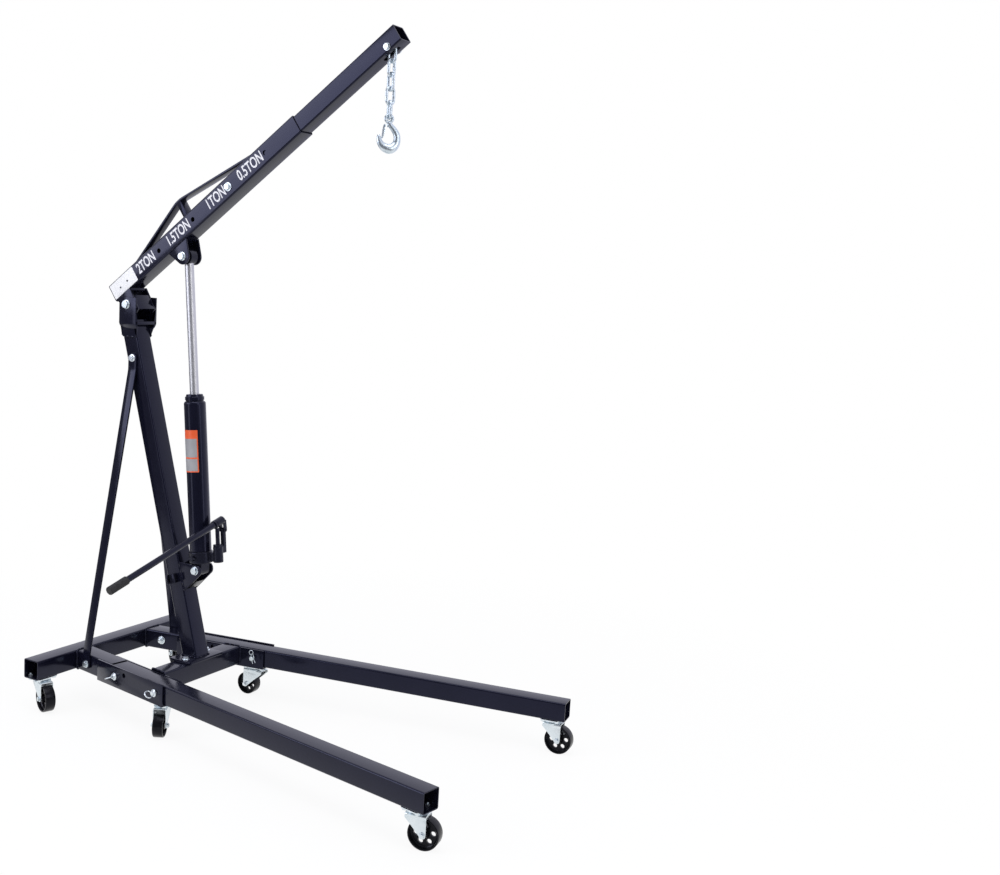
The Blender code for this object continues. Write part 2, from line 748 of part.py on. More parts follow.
def build_boom(hoist):
    """The boom's frame has its x axis along the tube, and turns about the mast head's bolt."""
    pivot = empty("boom_frame", hoist, (PIVOT_X, 0, PIVOT_Z), (0, -BOOM_ANGLE, 0))
    middle = (0, BOOM_CENTRE)
    tube = square_tube(BOOM_TUBE, BOOM_TUBE, BOOM_WALL, BOOM_REAR, BOOM_FRONT, "x", middle)
    places = [(FIRST_BOOM_HOLE + i * BOOM_HOLE_PITCH, BOOM_CENTRE) for i in range(BOOM_HOLES)]
    tube = cut(tube, *cross_bores(places, BOOM_HOLE_RADIUS, BOOM_TUBE))
    piece("boom_tube", tube, "black_paint", pivot)
    build_hinge_bracket(pivot)
    build_truss(pivot)
    build_boom_ram_bracket(pivot)
    build_extension(pivot)
    return pivot


def build_hinge_bracket(pivot):
    """A folded bracket under the boom's rear end, with two eyes on the pivot bolt."""
    top = BOOM_LIFT - GAP
    half = HINGE_WIDTH / 2
    eye = arc((0, 0), HINGE_EYE_RADIUS, 200, 340, 8)
    outline = [(HINGE_REAR, top), *eye, (HINGE_FRONT, top)]
    hole = circle((0, 0), PIVOT_BOLT_RADIUS + PIN_CLEARANCE)
    right = extruded([outline, hole], -half, -half + HINGE_PLATE, "y")
    left = extruded([outline, hole], half - HINGE_PLATE, half, "y")
    inside = half - HINGE_PLATE / 2
    web = box((HINGE_REAR, -inside, top - HINGE_PLATE), (HINGE_FRONT, inside, top))
    foot = Vector(eye[-1])
    head = Vector((HINGE_FRONT, top))
    back = Vector((-HINGE_PLATE / math.sin(math.atan2(head.y - foot.y, head.x - foot.x)), 0))
    strip = [foot, head, head + back, foot + back]
    front = extruded([strip], -inside, inside, "y")
    body = joined(right, left, web, front)
    piece("boom_hinge_bracket", body, "black_paint", pivot)


def build_truss(pivot):
    """A bent strap over a post on top of the boom, which stiffens it."""
    foot = BOOM_TOP + GAP
    crown = BOOM_TOP + TRUSS_RISE
    flat = TRUSS_FLAT / 2
    post = TRUSS_POST / 2
    rear_run = TRUSS_APEX - flat - TRUSS_REAR
    front_run = TRUSS_FRONT - TRUSS_APEX - flat
    rear_slope = TRUSS_RISE / rear_run
    front_slope = TRUSS_RISE / front_run
    rear_foot = TRUSS_STRAP * math.hypot(1, rear_slope) / rear_slope
    front_foot = TRUSS_STRAP * math.hypot(1, front_slope) / front_slope
    under = crown - TRUSS_STRAP
    rear_inner = under - rear_slope * (flat - post) * 0.5
    front_inner = under - front_slope * (flat - post) * 0.5
    outline = [
        (TRUSS_REAR, foot),
        (TRUSS_REAR + rear_foot, foot),
        (TRUSS_APEX - post, rear_inner),
        (TRUSS_APEX - post, foot),
        (TRUSS_APEX + post, foot),
        (TRUSS_APEX + post, front_inner),
        (TRUSS_FRONT - front_foot, foot),
        (TRUSS_FRONT, foot),
        (TRUSS_APEX + flat, crown),
        (TRUSS_APEX - flat, crown),
    ]
    half = TRUSS_WIDTH / 2
    body = extruded([outline], -half, half, "y")
    piece("boom_truss", body, "black_paint", pivot)


def build_boom_ram_bracket(pivot):
    """Two ears under the boom for the top of the ram, and the pin they carry."""
    top = BOOM_LIFT - GAP
    half = BOOM_TUBE / 2
    chin = arc((RAM_PIN_X, RAM_PIN_Z), RAM_EAR_RADIUS, 205, 335, 8)
    outline = [(RAM_EAR_REAR, top), *chin, (RAM_EAR_FRONT, top)]
    hole = circle((RAM_PIN_X, RAM_PIN_Z), RAM_PIN_RADIUS + PIN_CLEARANCE)
    right = extruded([outline, hole], -half, -half + RAM_EAR, "y")
    left = extruded([outline, hole], half - RAM_EAR, half, "y")
    inside = half - RAM_EAR / 2
    web = box((RAM_EAR_REAR, -inside, top - RAM_EAR_WEB), (RAM_EAR_FRONT, inside, top))
    piece("boom_ram_bracket", joined(right, left, web), "black_paint", pivot)
    span = half + GAP
    place = (RAM_PIN_X, 0, RAM_PIN_Z)
    piece("ram_head_pin", bolt(RAM_PIN_RADIUS, -span, span), "zinc", pivot, place)


def build_extension(pivot):
    """The sliding inner tube, with its lock hole and the chain's slot and bolt."""
    middle = (0, BOOM_CENTRE)
    start = LOCK_PLACE - EXTENSION_TAIL
    tube = square_tube(
        EXTENSION_TUBE, EXTENSION_TUBE, EXTENSION_WALL, start, EXTENSION_TIP, "x", middle
    )
    bolt_hole = CHAIN_BOLT_RADIUS + PIN_CLEARANCE
    bores = cross_bores([(LOCK_PLACE, BOOM_CENTRE)], BOOM_HOLE_RADIUS, EXTENSION_TUBE)
    bores += cross_bores([(CHAIN_BOLT_X, CHAIN_BOLT_Z)], bolt_hole, EXTENSION_TUBE)
    slot = box(
        (CHAIN_BOLT_X - CHAIN_SLOT_BACK, -LINK_WIRE, BOOM_LIFT),
        (CHAIN_BOLT_X + CHAIN_SLOT_FRONT, LINK_WIRE, BOOM_CENTRE),
    )
    piece("boom_extension", cut(tube, *bores, slot), "black_paint", pivot)
    span = EXTENSION_TUBE / 2 + GAP
    place = (CHAIN_BOLT_X, 0, CHAIN_BOLT_Z)
    shank = bolt(CHAIN_BOLT_RADIUS, -span, span, HEAD_RADIUS * 0.8)
    piece("chain_bolt", shank, "zinc", pivot, place)


def chain_link():
    """A link in the x z plane, round its own middle: two straights and two half rings."""
    bend = (LINK_WIDTH - LINK_WIRE) / 2
    straight = (LINK_PITCH + LINK_WIRE) / 2 - bend
    loop = [(x, 0, z) for x, z in arc((0, straight), bend, 0, 180, 6)]
    loop += [(x, 0, z) for x, z in arc((0, -straight), bend, 180, 360, 6)]
    return bent_bar(loop, [LINK_WIRE / 2] * len(loop), True, 2)


def link_turn(index):
    """How far a link is turned about the vertical: a quarter turn more than the last, and a twist."""
    quarter = math.pi / 2 * (index % 2)
    return quarter + LINK_TWIST * index


def build_chain(hoist):
    """Links hanging from the bolt in the boom's tip, with the hook below."""
    cosine, sine = math.cos(BOOM_ANGLE), math.sin(BOOM_ANGLE)
    bolt_x = PIVOT_X + CHAIN_BOLT_X * cosine - CHAIN_BOLT_Z * sine
    bolt_z = PIVOT_Z + CHAIN_BOLT_X * sine + CHAIN_BOLT_Z * cosine
    link = chain_link()
    crown = bolt_z + CHAIN_BOLT_RADIUS + GAP
    seat = LINK_ROOM + LINK_WIRE / 2
    for index in range(LINKS):
        origin = bolt_z if index == 0 else crown - seat
        hang = empty(f"link_{index + 1}_frame", hoist, (bolt_x, 0, origin))
        mesh = link.copy()
        mesh.transform(Matrix.Translation((0, 0, crown - LINK_PITCH / 2 - origin)))
        name = f"chain_link_{index + 1}"
        piece(name, mesh, "zinc", hang, (0, 0, 0), (0, 0, link_turn(index)))
        crown += LINK_ROOM - LINK_PITCH
    drop = HOOK_EYE_RADIUS - HOOK_EYE_WIRE / 2 - seat
    build_hook(hoist, Vector((bolt_x, 0, crown - seat)), drop, link_turn(LINKS))


def build_hook(hoist, hang, drop, turn):
    """An eye hook in its own x z plane, its point on the -x side, and its sprung latch.

    It swings about the last link's wire; the middle of its eye lies a drop below that.
    """
    frame = empty("hook_frame", hoist, hang, (0, 0, turn))
    ring = [(x, 0, z) for x, z in circle((0, 0), HOOK_EYE_RADIUS, 14)]
    ring_mesh = bent_bar(ring, [HOOK_EYE_WIRE / 2] * len(ring), True, 2)
    path = [(x, 0, z) for x, z, radius in HOOK_LINE]
    body = bent_bar(path, [radius for x, z, radius in HOOK_LINE], False, 2)
    pivot = Vector((-LATCH_SETBACK, -LATCH_DROP))
    into_neck = HOOK_EYE_WIRE / 3
    lug_outline = arc(pivot, LATCH_EYE_RADIUS, 90, 270, 6)
    lug_outline += [(into_neck, pivot.y - LATCH_EYE_RADIUS), (into_neck, pivot.y + LATCH_EYE_RADIUS)]
    lug = extruded([lug_outline], -LATCH_LUG / 2, LATCH_LUG / 2, "y")
    pin_half = LATCH_LUG / 2 + GAP + LATCH_SHEET + GAP
    pin = rod((pivot.x, -pin_half, pivot.y), (pivot.x, pin_half, pivot.y), LATCH_PIN_RADIUS, 8)
    piece("hook", joined(body, ring_mesh, lug, pin), "zinc", frame, (0, 0, -drop))
    x, z, radius = HOOK_LINE[LATCH_REST]
    rest = Vector((x + radius + LATCH_SHEET + LATCH_ROOM, z))
    build_latch(frame, pivot, rest - pivot, drop)


def build_latch(frame, pivot, reach, drop):
    """The latch closes the hook's mouth: two ears on the neck's pin and a strip to behind the point."""
    along = reach.normalized()
    aside = Vector((-along.y, along.x)) * LATCH_SHEET / 2
    inner = LATCH_LUG / 2 + GAP
    outer = inner + LATCH_SHEET
    strip_start = along * (LATCH_EYE_RADIUS + LATCH_SHEET)
    strip = [strip_start - aside, reach - aside, reach + aside, strip_start + aside]
    plate = extruded([strip], -outer, outer, "y")
    turn = math.degrees(math.atan2(along.y, along.x))
    eye = arc((0, 0), LATCH_EYE_RADIUS, turn + 90, turn + 270, 6)
    ear_end = strip_start + along * LATCH_EYE_RADIUS
    outline = [*eye, ear_end - aside / 2, ear_end + aside / 2]
    hole = circle((0, 0), LATCH_PIN_RADIUS + GAP, 8)
    right = extruded([outline, hole], -outer, -inner, "y")
    left = extruded([outline, hole], inner, outer, "y")
    place = (pivot.x, 0, pivot.y - drop)
    piece("hook_latch", joined(plate, right, left), "zinc", frame, place)


def build_jack(hoist):
    """The long ram jack, tilted so that its top pin lies in the boom's ears."""
    cosine, sine = math.cos(BOOM_ANGLE), math.sin(BOOM_ANGLE)
    head_x = PIVOT_X + RAM_PIN_X * cosine - RAM_PIN_Z * sine
    head_z = PIVOT_Z + RAM_PIN_X * sine + RAM_PIN_Z * cosine
    lean = math.atan2(head_x - RAM_FOOT_X, head_z - RAM_FOOT_Z)
    length = math.hypot(head_x - RAM_FOOT_X, head_z - RAM_FOOT_Z)
    frame = empty("jack_frame", hoist, (RAM_FOOT_X, 0, RAM_FOOT_Z), (0, lean, 0))
    build_ram_base(frame)
    build_cylinder(frame)
    build_ram_rod(frame, length)
    build_pump(frame)
    return frame


def build_ram_base(frame):
    """The jack's cast foot: a lug on the pin, a round block, the pump barrel and the fulcrum post."""
    lug_half = RAM_LUG_WIDTH / 2
    lug_outline = arc((0, 0), RAM_LUG_RADIUS, 180, 360, 10)
    lug_outline += [(RAM_LUG_RADIUS, RAM_BASE_TOP * 0.6), (-RAM_LUG_RADIUS, RAM_BASE_TOP * 0.6)]
    lug = extruded([lug_outline], -lug_half, lug_half, "y")
    edge = 0.003
    block = turned(
        [
            (0, RAM_BASE_BOTTOM),
            (RAM_BASE_RADIUS - edge, RAM_BASE_BOTTOM),
            (RAM_BASE_RADIUS, RAM_BASE_BOTTOM + edge),
            (RAM_BASE_RADIUS, RAM_BASE_TOP - edge),
            (RAM_BASE_RADIUS - edge, RAM_BASE_TOP),
            (0, RAM_BASE_TOP),
        ],
        20,
    )
    barrel_bottom = RAM_BASE_BOTTOM + edge
    barrel = rod(
        (PUMP_REACH, PUMP_SHIFT, barrel_bottom),
        (PUMP_REACH, PUMP_SHIFT, PUMP_BARREL_TOP),
        PUMP_BARREL_RADIUS,
        16,
    )
    arm = box(
        (0, PUMP_SHIFT - PUMP_BARREL_RADIUS * 0.9, RAM_BASE_BOTTOM + 2 * edge),
        (PUMP_REACH, PUMP_SHIFT + PUMP_BARREL_RADIUS * 0.9, RAM_BASE_TOP - edge),
    )
    post_half = FULCRUM_POST / 2
    post_low = PUMP_BARREL_TOP - PUMP_BARREL_RADIUS * 1.5
    post_outline = [(PUMP_SHIFT + PUMP_BARREL_RADIUS * 0.5, post_low)]
    post_outline += [(FULCRUM_SHIFT, post_low)]
    post_outline += arc((FULCRUM_SHIFT, FULCRUM_HEIGHT), post_half, 0, 180, 8)
    post_outline += [(FULCRUM_SHIFT - post_half, PUMP_BARREL_TOP)]
    post_outline += [(PUMP_SHIFT + PUMP_BARREL_RADIUS * 0.5, PUMP_BARREL_TOP)]
    post_outline[1] = (FULCRUM_SHIFT + post_half, post_low)
    post = extruded([post_outline], PUMP_REACH - post_half, PUMP_REACH + post_half, "x")
    axle_half = post_half + GAP + LEVER_CHEEK + GAP
    axle = rod(
        (PUMP_REACH - axle_half, FULCRUM_SHIFT, FULCRUM_HEIGHT),
        (PUMP_REACH + axle_half, FULCRUM_SHIFT, FULCRUM_HEIGHT),
        FULCRUM_PIN_RADIUS,
        12,
    )
    body = joined(lug, block, barrel, arm, post, axle)
    pin_hole = rod((0, -lug_half * 2, 0), (0, lug_half * 2, 0), FOOT_PIN_RADIUS + PIN_CLEARANCE)
    plunger_hole = rod(
        (PUMP_REACH, PUMP_SHIFT, RAM_BASE_BOTTOM + 6 * edge),
        (PUMP_REACH, PUMP_SHIFT, PUMP_BARREL_TOP * 2),
        PLUNGER_RADIUS + PIN_CLEARANCE,
    )
    valve_z = (RAM_BASE_BOTTOM + RAM_BASE_TOP) / 2
    valve_hole = rod(
        (0, -RAM_BASE_RADIUS * 2, valve_z),
        (0, VALVE_LENGTH / 2 - RAM_BASE_RADIUS, valve_z),
        VALVE_RADIUS + PIN_CLEARANCE,
    )
    piece("ram_base", cut(body, pin_hole, plunger_hole, valve_hole), "black_paint", frame)
    stem = rod((0, -VALVE_HEAD_RADIUS / 2, 0), (0, VALVE_LENGTH / 2, 0), VALVE_RADIUS)
    head = rod((0, -VALVE_HEAD_RADIUS, 0), (0, -GAP, 0), VALVE_HEAD_RADIUS, 16)
    tee = rod(
        (-VALVE_HEAD_RADIUS * 1.7, -VALVE_HEAD_RADIUS * 0.6, 0),
        (VALVE_HEAD_RADIUS * 1.7, -VALVE_HEAD_RADIUS * 0.6, 0),
        VALVE_RADIUS * 0.55,
        10,
    )
    valve = joined(stem, head, tee)
    valve.transform(Matrix.Translation((0, -GAP, 0)))
    place = (0, -RAM_BASE_RADIUS, valve_z)
    piece("release_valve", valve, "zinc", frame, place)


def build_cylinder(frame):
    """The oil cylinder: a tube with a round shoulder and a gland collar round the rod."""
    bottom = RAM_BASE_TOP + GAP
    bore = ROD_RADIUS + PIN_CLEARANCE
    shoulder = arc(
        (CYLINDER_RADIUS - SHOULDER_RADIUS, CYLINDER_TOP - SHOULDER_RADIUS),
        SHOULDER_RADIUS,
        0,
        70,
        4,
    )
    neck_radius = shoulder[-1][0]
    neck_top = (CYLINDER_TOP + GLAND_TOP) / 2 - SHOULDER_RADIUS / 2
    edge = 0.002
    profile = [
        (CYLINDER_BORE, bottom),
        (CYLINDER_RADIUS, bottom),
        *shoulder,
        (neck_radius, neck_top),
        (GLAND_RADIUS - edge, neck_top),
        (GLAND_RADIUS, neck_top + edge),
        (GLAND_RADIUS, GLAND_TOP - edge),
        (GLAND_RADIUS - edge, GLAND_TOP),
        (bore, GLAND_TOP),
        (bore, CYLINDER_TOP - SHOULDER_RADIUS),
        (CYLINDER_BORE, CYLINDER_TOP - SHOULDER_RADIUS),
    ]
    piece("ram_cylinder", turned(profile, 20, True), "black_paint", frame)


def build_ram_rod(frame, length):
    """The chromed rod with its piston and a top eye, whose bore leaves room round the head pin."""
    piston_top = CYLINDER_TOP - SHOULDER_RADIUS - PISTON_DEPTH
    piston_radius = CYLINDER_BORE - PIN_CLEARANCE
    shaft = turned(
        [
            (0, piston_top - PISTON_LENGTH),
            (piston_radius, piston_top - PISTON_LENGTH),
            (piston_radius, piston_top),
            (ROD_RADIUS, piston_top),
            (ROD_RADIUS, length - ROD_EYE_BORE - ROD_EYE_WALL / 2),
            (0, length - ROD_EYE_BORE - ROD_EYE_WALL / 2),
        ],
        20,
    )
    half = ROD_EYE_WIDTH / 2
    ring = extruded(
        [circle((0, length), ROD_EYE_RADIUS, 20), circle((0, length), ROD_EYE_BORE, 20)],
        -half,
        half,
        "y",
    )
    piece("ram_rod", joined(shaft, ring), "chrome", frame)


def build_pump(frame):
    """Plunger, lever with its handle socket, the handle and its grip."""
    slope = math.tan(HANDLE_SLOPE)
    axis_z = SOCKET_HEIGHT - FULCRUM_HEIGHT
    axis_y = PUMP_SHIFT - FULCRUM_SHIFT
    under = SOCKET_HEIGHT - SOCKET_RADIUS / math.cos(HANDLE_SLOPE) - PLUNGER_RADIUS * slope
    plunger_start = RAM_BASE_BOTTOM + 0.022
    plunger = rod(
        (0, 0, plunger_start),
        (0, 0, under - GAP),
        PLUNGER_RADIUS,
    )
    place = (PUMP_REACH, PUMP_SHIFT, 0)
    piece("pump_plunger", plunger, "chrome", frame, place)
    hinge = empty("lever_frame", frame, (PUMP_REACH, FULCRUM_SHIFT, FULCRUM_HEIGHT))
    along = Vector((0, -math.cos(HANDLE_SLOPE), -math.sin(HANDLE_SLOPE)))
    middle = Vector((0, axis_y, axis_z))
    tail = middle - along * SOCKET_LENGTH * 0.62
    mouth = middle + along * SOCKET_LENGTH * 0.38
    sleeve = rod(tail, mouth, SOCKET_RADIUS, 16)
    inner = FULCRUM_POST / 2 + GAP
    eye = LEVER_CHEEK * 2
    top_y = tail.y + SOCKET_RADIUS * 0.4
    cheek_outline = [(-eye, axis_z * 0.6), *arc((0, 0), eye, 180, 360, 8), (top_y, tail.z)]
    cheek_outline += [(-eye, axis_z)]
    hole = circle((0, 0), FULCRUM_PIN_RADIUS + PIN_CLEARANCE, 12)
    right = extruded([cheek_outline, hole], -inner - LEVER_CHEEK, -inner, "x")
    left = extruded([cheek_outline, hole], inner, inner + LEVER_CHEEK, "x")
    bore_start = middle - along * SOCKET_LENGTH * 0.30
    bore = rod(bore_start, mouth + along * SOCKET_LENGTH, HANDLE_RADIUS + PIN_CLEARANCE)
    piece("pump_lever", cut(joined(sleeve, right, left), bore), "black_paint", hinge)
    end = middle + along * HANDLE_REACH
    handle = rod(bore_start + along * GAP, end, HANDLE_RADIUS)
    piece("pump_handle", handle, "black_paint", hinge)
    grip_start = end - along * GRIP_LENGTH
    sleeve = rod(grip_start, end + along * GRIP_RADIUS / 4, GRIP_RADIUS, 16)
    hollow = rod(grip_start - along * GRIP_LENGTH, end + along * GAP, HANDLE_RADIUS + GAP)
    piece("handle_grip", cut(sleeve, hollow), "rubber", hinge)


def caster_plate():
    """The top plate, long side along x, with the upper race pressed into it; z = 0 is its top."""
    outline = rounded_rectangle(CASTER_PLATE_LENGTH, CASTER_PLATE_WIDTH, TUBE_CORNER)
    plate = extruded([outline], -CASTER_PLATE, 0, "z")
    low = -CASTER_PLATE - RACE_HEIGHT
    race = turned(
        [
            (0, -CASTER_PLATE / 2),
            (RACE_RADIUS, -CASTER_PLATE / 2),
            (RACE_RADIUS, -CASTER_PLATE - RACE_HEIGHT * 0.6),
            (RACE_RADIUS * 0.86, low),
            (0, low),
        ],
        16,
    )
    return joined(plate, race)


def fork_cheek(wheel_radius, top):
    """Outline of a fork's side plate: upright on the axle's side, cut back in a slope on the other."""
    waist = (-FORK_BACK / 9, (top + wheel_radius) / 2)
    return [
        (-FORK_BACK, top),
        (-FORK_BACK, top - FORK_LIP),
        waist,
        *arc((CASTER_TRAIL, wheel_radius), FORK_END_RADIUS, 205, 360, 6),
        (CASTER_TRAIL + FORK_END_RADIUS, top),
    ]


def caster_fork(height, wheel_radius):
    """The stamped fork with its axle bolt; the swivel axis is z and the wheel trails to +x."""
    top = height - GAP - CASTER_PLATE - RACE_HEIGHT - GAP
    crown_low = top - FORK_CROWN
    inner = WHEEL_WIDTH / 2 + FORK_SIDE_ROOM
    outer = inner + FORK_PLATE
    crown = turned(
        [
            (0, top),
            (RACE_RADIUS * 0.9, top),
            (RACE_RADIUS, top - FORK_CROWN * 0.4),
            (RACE_RADIUS, crown_low),
            (0, crown_low),
        ],
        16,
    )
    outline = fork_cheek(wheel_radius, crown_low + FORK_CROWN * 0.4)
    right = extruded([outline], -outer, -inner, "y")
    left = extruded([outline], inner, outer, "y")
    bridge = box(
        (-FORK_BACK * 0.9, -outer + FORK_PLATE / 3, crown_low - FORK_PLATE * 0.6),
        (CASTER_TRAIL * 1.2, outer - FORK_PLATE / 3, crown_low + FORK_CROWN * 0.5),
    )
    axle = rod((0, -outer - FORK_PLATE, 0), (0, outer + FORK_PLATE, 0), AXLE_RADIUS, 8)
    head = rod((0, -outer - HEAD_HEIGHT * 0.6, 0), (0, -outer + FORK_PLATE / 2, 0), AXLE_RADIUS * 1.7, 6)
    nut = rod((0, outer - FORK_PLATE / 2, 0), (0, outer + HEAD_HEIGHT * 0.7, 0), AXLE_RADIUS * 1.7, 6)
    for part in (axle, head, nut):
        part.transform(Matrix.Translation((CASTER_TRAIL, 0, wheel_radius)))
    return joined(crown, bridge, right, left, axle, head, nut)


def caster_wheel(radius):
    """A cast wheel about y: tread, raised rim, thin web with round holes, and a hub.

    The radius is measured to the flats of the faceted tread, one of which is at the bottom.
    """
    radius = radius / math.cos(math.pi / WHEEL_STEPS)
    half = WHEEL_WIDTH / 2
    web = WHEEL_WEB / 2
    rim = radius - WHEEL_RIM
    edge = 0.0016
    bore = AXLE_RADIUS + PIN_CLEARANCE
    right = [
        (bore, -half),
        (HUB_RADIUS, -half),
        (HUB_RADIUS + edge, -web),
        (rim - edge, -web),
        (rim, -half),
        (radius, -half + edge),
    ]
    profile = right + [(r, -y) for r, y in reversed(right)]
    mesh = turned(profile, WHEEL_STEPS, True)
    middle = (HUB_RADIUS + rim) / 2
    hole_radius = (rim - HUB_RADIUS) * 0.30
    holes = []
    for x, y in circle((0, 0), middle, WEB_HOLES):
        holes.append(rod((x, y, -WHEEL_WIDTH), (x, y, WHEEL_WIDTH), hole_radius, 7))
    for hole in holes:
        hole.transform(Matrix.Rotation(math.pi / WHEEL_STEPS / 2, 4, "Z"))
    mesh = cut(mesh, *holes)
    mesh.transform(Matrix.Rotation(math.pi / WHEEL_STEPS, 4, "Z"))
    mesh.transform(Matrix.Rotation(math.pi / 2, 4, "X"))
    return mesh


def build_casters(hoist, splays):
    """Two large casters under the rear beam, two small ones under the channels, two under the leg tips."""
    plate = caster_plate()
    large = caster_fork(CASTER_HEIGHT, WHEEL_RADIUS), caster_wheel(WHEEL_RADIUS)
    small = caster_fork(CHANNEL_BOTTOM, MID_WHEEL_RADIUS), caster_wheel(MID_WHEEL_RADIUS)
    for side, splay in splays.items():
        rear = Vector((-BEAM_TUBE / 2, side * (REAR_BEAM_LENGTH / 2 - REAR_CASTER_INSET), 0))
        turn = Matrix.Rotation(side * SPLAY, 3, "Z")
        start = Vector((0, side * STUB_SPACING / 2, 0))
        middle = start + turn @ Vector((CHANNEL_END - MID_CASTER_INSET, 0, 0))
        front = start + turn @ Vector((LEG_END - FRONT_CASTER_INSET, 0, 0))
        angle = side * SPLAY
        sets = (
            ("rear", rear, math.pi / 2, REAR_HEADINGS, CASTER_HEIGHT, large, WHEEL_RADIUS),
            ("middle", middle, angle, MID_HEADINGS, CHANNEL_BOTTOM, small, MID_WHEEL_RADIUS),
            ("front", front, angle, FRONT_HEADINGS, CASTER_HEIGHT, large, WHEEL_RADIUS),
        )
        for where, place, plate_turn, headings, height, (fork, wheel), radius in sets:
            name = f"{side_name(side)}_{where}"
            seat = (place.x, place.y, height - GAP)
            piece(f"{name}_caster_plate", plate, "zinc", hoist, seat, (0, 0, plate_turn))
            swivel = empty(f"{name}_swivel", hoist, place, (0, 0, math.radians(headings[side])))
            piece(f"{name}_caster_fork", fork, "zinc", swivel)
            axle = (CASTER_TRAIL, 0, radius)
            piece(f"{name}_caster_wheel", wheel, "cast_iron", swivel, axle)


def centre_on_floor(hoist):
    """Moves the whole hoist so that the origin is under the middle of its box, on the floor."""
    bpy.context.view_layer.update()
    corners = []
    for thing in bpy.data.objects:
        if thing.type == "MESH":
            corners += [thing.matrix_world @ v.co for v in thing.data.vertices]
    low = Vector([min(c[k] for c in corners) for k in range(3)])
    high = Vector([max(c[k] for c in corners) for k in range(3)])
    hoist.location = (-(low.x + high.x) / 2, -(low.y + high.y) / 2, -low.z)
    bpy.context.view_layer.update()


def main():
    clear_scene()
    hoist = empty("hoist")
    splays = {side: splay_frame(hoist, side) for side in (-1, 1)}
    build_rear_beam(hoist)
    for side, splay in splays.items():
        build_stub(splay, side)
        build_channel(splay, side)
        build_leg(splay, side)
        build_ring_pins(splay, side)
        build_brace(hoist, side)
    build_cross_beam(hoist)
    build_mast(hoist)
    build_mast_head(hoist)
    build_ram_mast_bracket(hoist)
    build_boom(hoist)
    build_jack(hoist)
    build_chain(hoist)
    build_casters(hoist, splays)
    centre_on_floor(hoist)


main()
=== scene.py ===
# %% [markdown]
# # Engine hoist crane: the looks
# A shop crane in gloss black paint with zinc casters, chain and hook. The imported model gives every
# place and every joint; this notebook lays finished surfaces over it, piece by piece. Each surface
# is a numpy array of points on a grid: a section carried along a line, a profile carried round an
# axis, or a flat outline given thickness. It could be sculpted by hand instead, but a formula keeps
# every size named and every edge even.

# %% Load the frame
import json
import math

import bmesh
import bpy
import numpy as np
from mathutils import Matrix, Vector


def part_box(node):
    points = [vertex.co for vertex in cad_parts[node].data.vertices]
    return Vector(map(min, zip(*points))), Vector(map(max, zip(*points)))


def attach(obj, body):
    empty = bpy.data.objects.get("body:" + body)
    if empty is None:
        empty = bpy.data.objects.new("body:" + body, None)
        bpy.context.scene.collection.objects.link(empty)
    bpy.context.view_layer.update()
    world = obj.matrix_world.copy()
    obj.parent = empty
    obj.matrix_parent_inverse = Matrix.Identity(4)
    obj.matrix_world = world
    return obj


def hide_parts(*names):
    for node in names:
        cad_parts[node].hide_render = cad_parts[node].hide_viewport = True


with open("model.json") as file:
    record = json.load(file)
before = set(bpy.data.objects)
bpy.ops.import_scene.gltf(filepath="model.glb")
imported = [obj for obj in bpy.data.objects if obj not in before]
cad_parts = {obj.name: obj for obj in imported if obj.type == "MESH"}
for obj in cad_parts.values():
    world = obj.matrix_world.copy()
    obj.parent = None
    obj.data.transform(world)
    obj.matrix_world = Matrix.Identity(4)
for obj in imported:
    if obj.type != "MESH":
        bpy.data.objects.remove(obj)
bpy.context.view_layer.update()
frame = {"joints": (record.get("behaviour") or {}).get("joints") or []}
joints = {joint["name"]: joint for joint in frame["joints"]}

# %% [markdown]
# ## Camera, floor and light
# The photograph is a studio shot on white, taken a little above the boom's pivot and slightly
# tilted. The camera's place and turn were worked out from straight edges of known length. A white
# floor takes a soft shadow. Five lamps and a sky that is brighter on one side light the black paint,
# because black gloss shows what it mirrors more than its own colour.

# %% Camera
scene = bpy.context.scene
scene.view_settings.view_transform = "Standard"
beam_low, beam_high = (np.array(corner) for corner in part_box("rear_beam"))
HOIST_ORIGIN = np.array([beam_high[0], (beam_low[1] + beam_high[1]) / 2, 0.0])
CAMERA_FROM_HOIST = np.array([3.1374, -3.0752, 1.5535])
YAW, PITCH, ROLL = np.radians([28.25, 7.8, 3.51])
LENS, SENSOR = 43.902, 36.0
ahead = np.array([-np.sin(YAW) * np.cos(PITCH), np.cos(YAW) * np.cos(PITCH), -np.sin(PITCH)])
level = np.array([np.cos(YAW), np.sin(YAW), 0.0])
upright = np.cross(level, ahead)
right = np.cos(ROLL) * level + np.sin(ROLL) * upright
top = -np.sin(ROLL) * level + np.cos(ROLL) * upright
camera = bpy.data.objects.new("camera", bpy.data.cameras.new("camera"))
camera.data.lens = LENS
camera.data.sensor_width = SENSOR
turn = np.eye(4)
turn[:3] = np.column_stack([right, top, -ahead, HOIST_ORIGIN + CAMERA_FROM_HOIST])
camera.matrix_world = Matrix(turn.tolist())
scene.collection.objects.link(camera)
scene.camera = camera
print("camera looks along", np.round(ahead, 3))


# %% Shader helpers
def ray_share(tree, *kinds):
    """1 for rays of the named kinds, such as those from the camera, and 0 for all others."""
    path = tree.nodes.new("ShaderNodeLightPath")
    share = path.outputs[kinds[0]]
    for kind in kinds[1:]:
        either = tree.nodes.new("ShaderNodeMath")
        either.operation = "MAXIMUM"
        tree.links.new(share, either.inputs[0])
        tree.links.new(path.outputs[kind], either.inputs[1])
        share = either.outputs[0]
    return share


def blend(tree, share, usual, special):
    """Two shaders mixed by a share: at 0 the usual one, at 1 the special one."""
    mix = tree.nodes.new("ShaderNodeMixShader")
    tree.links.new(share, mix.inputs[0])
    tree.links.new(usual.outputs[0], mix.inputs[1])
    tree.links.new(special.outputs[0], mix.inputs[2])
    return mix


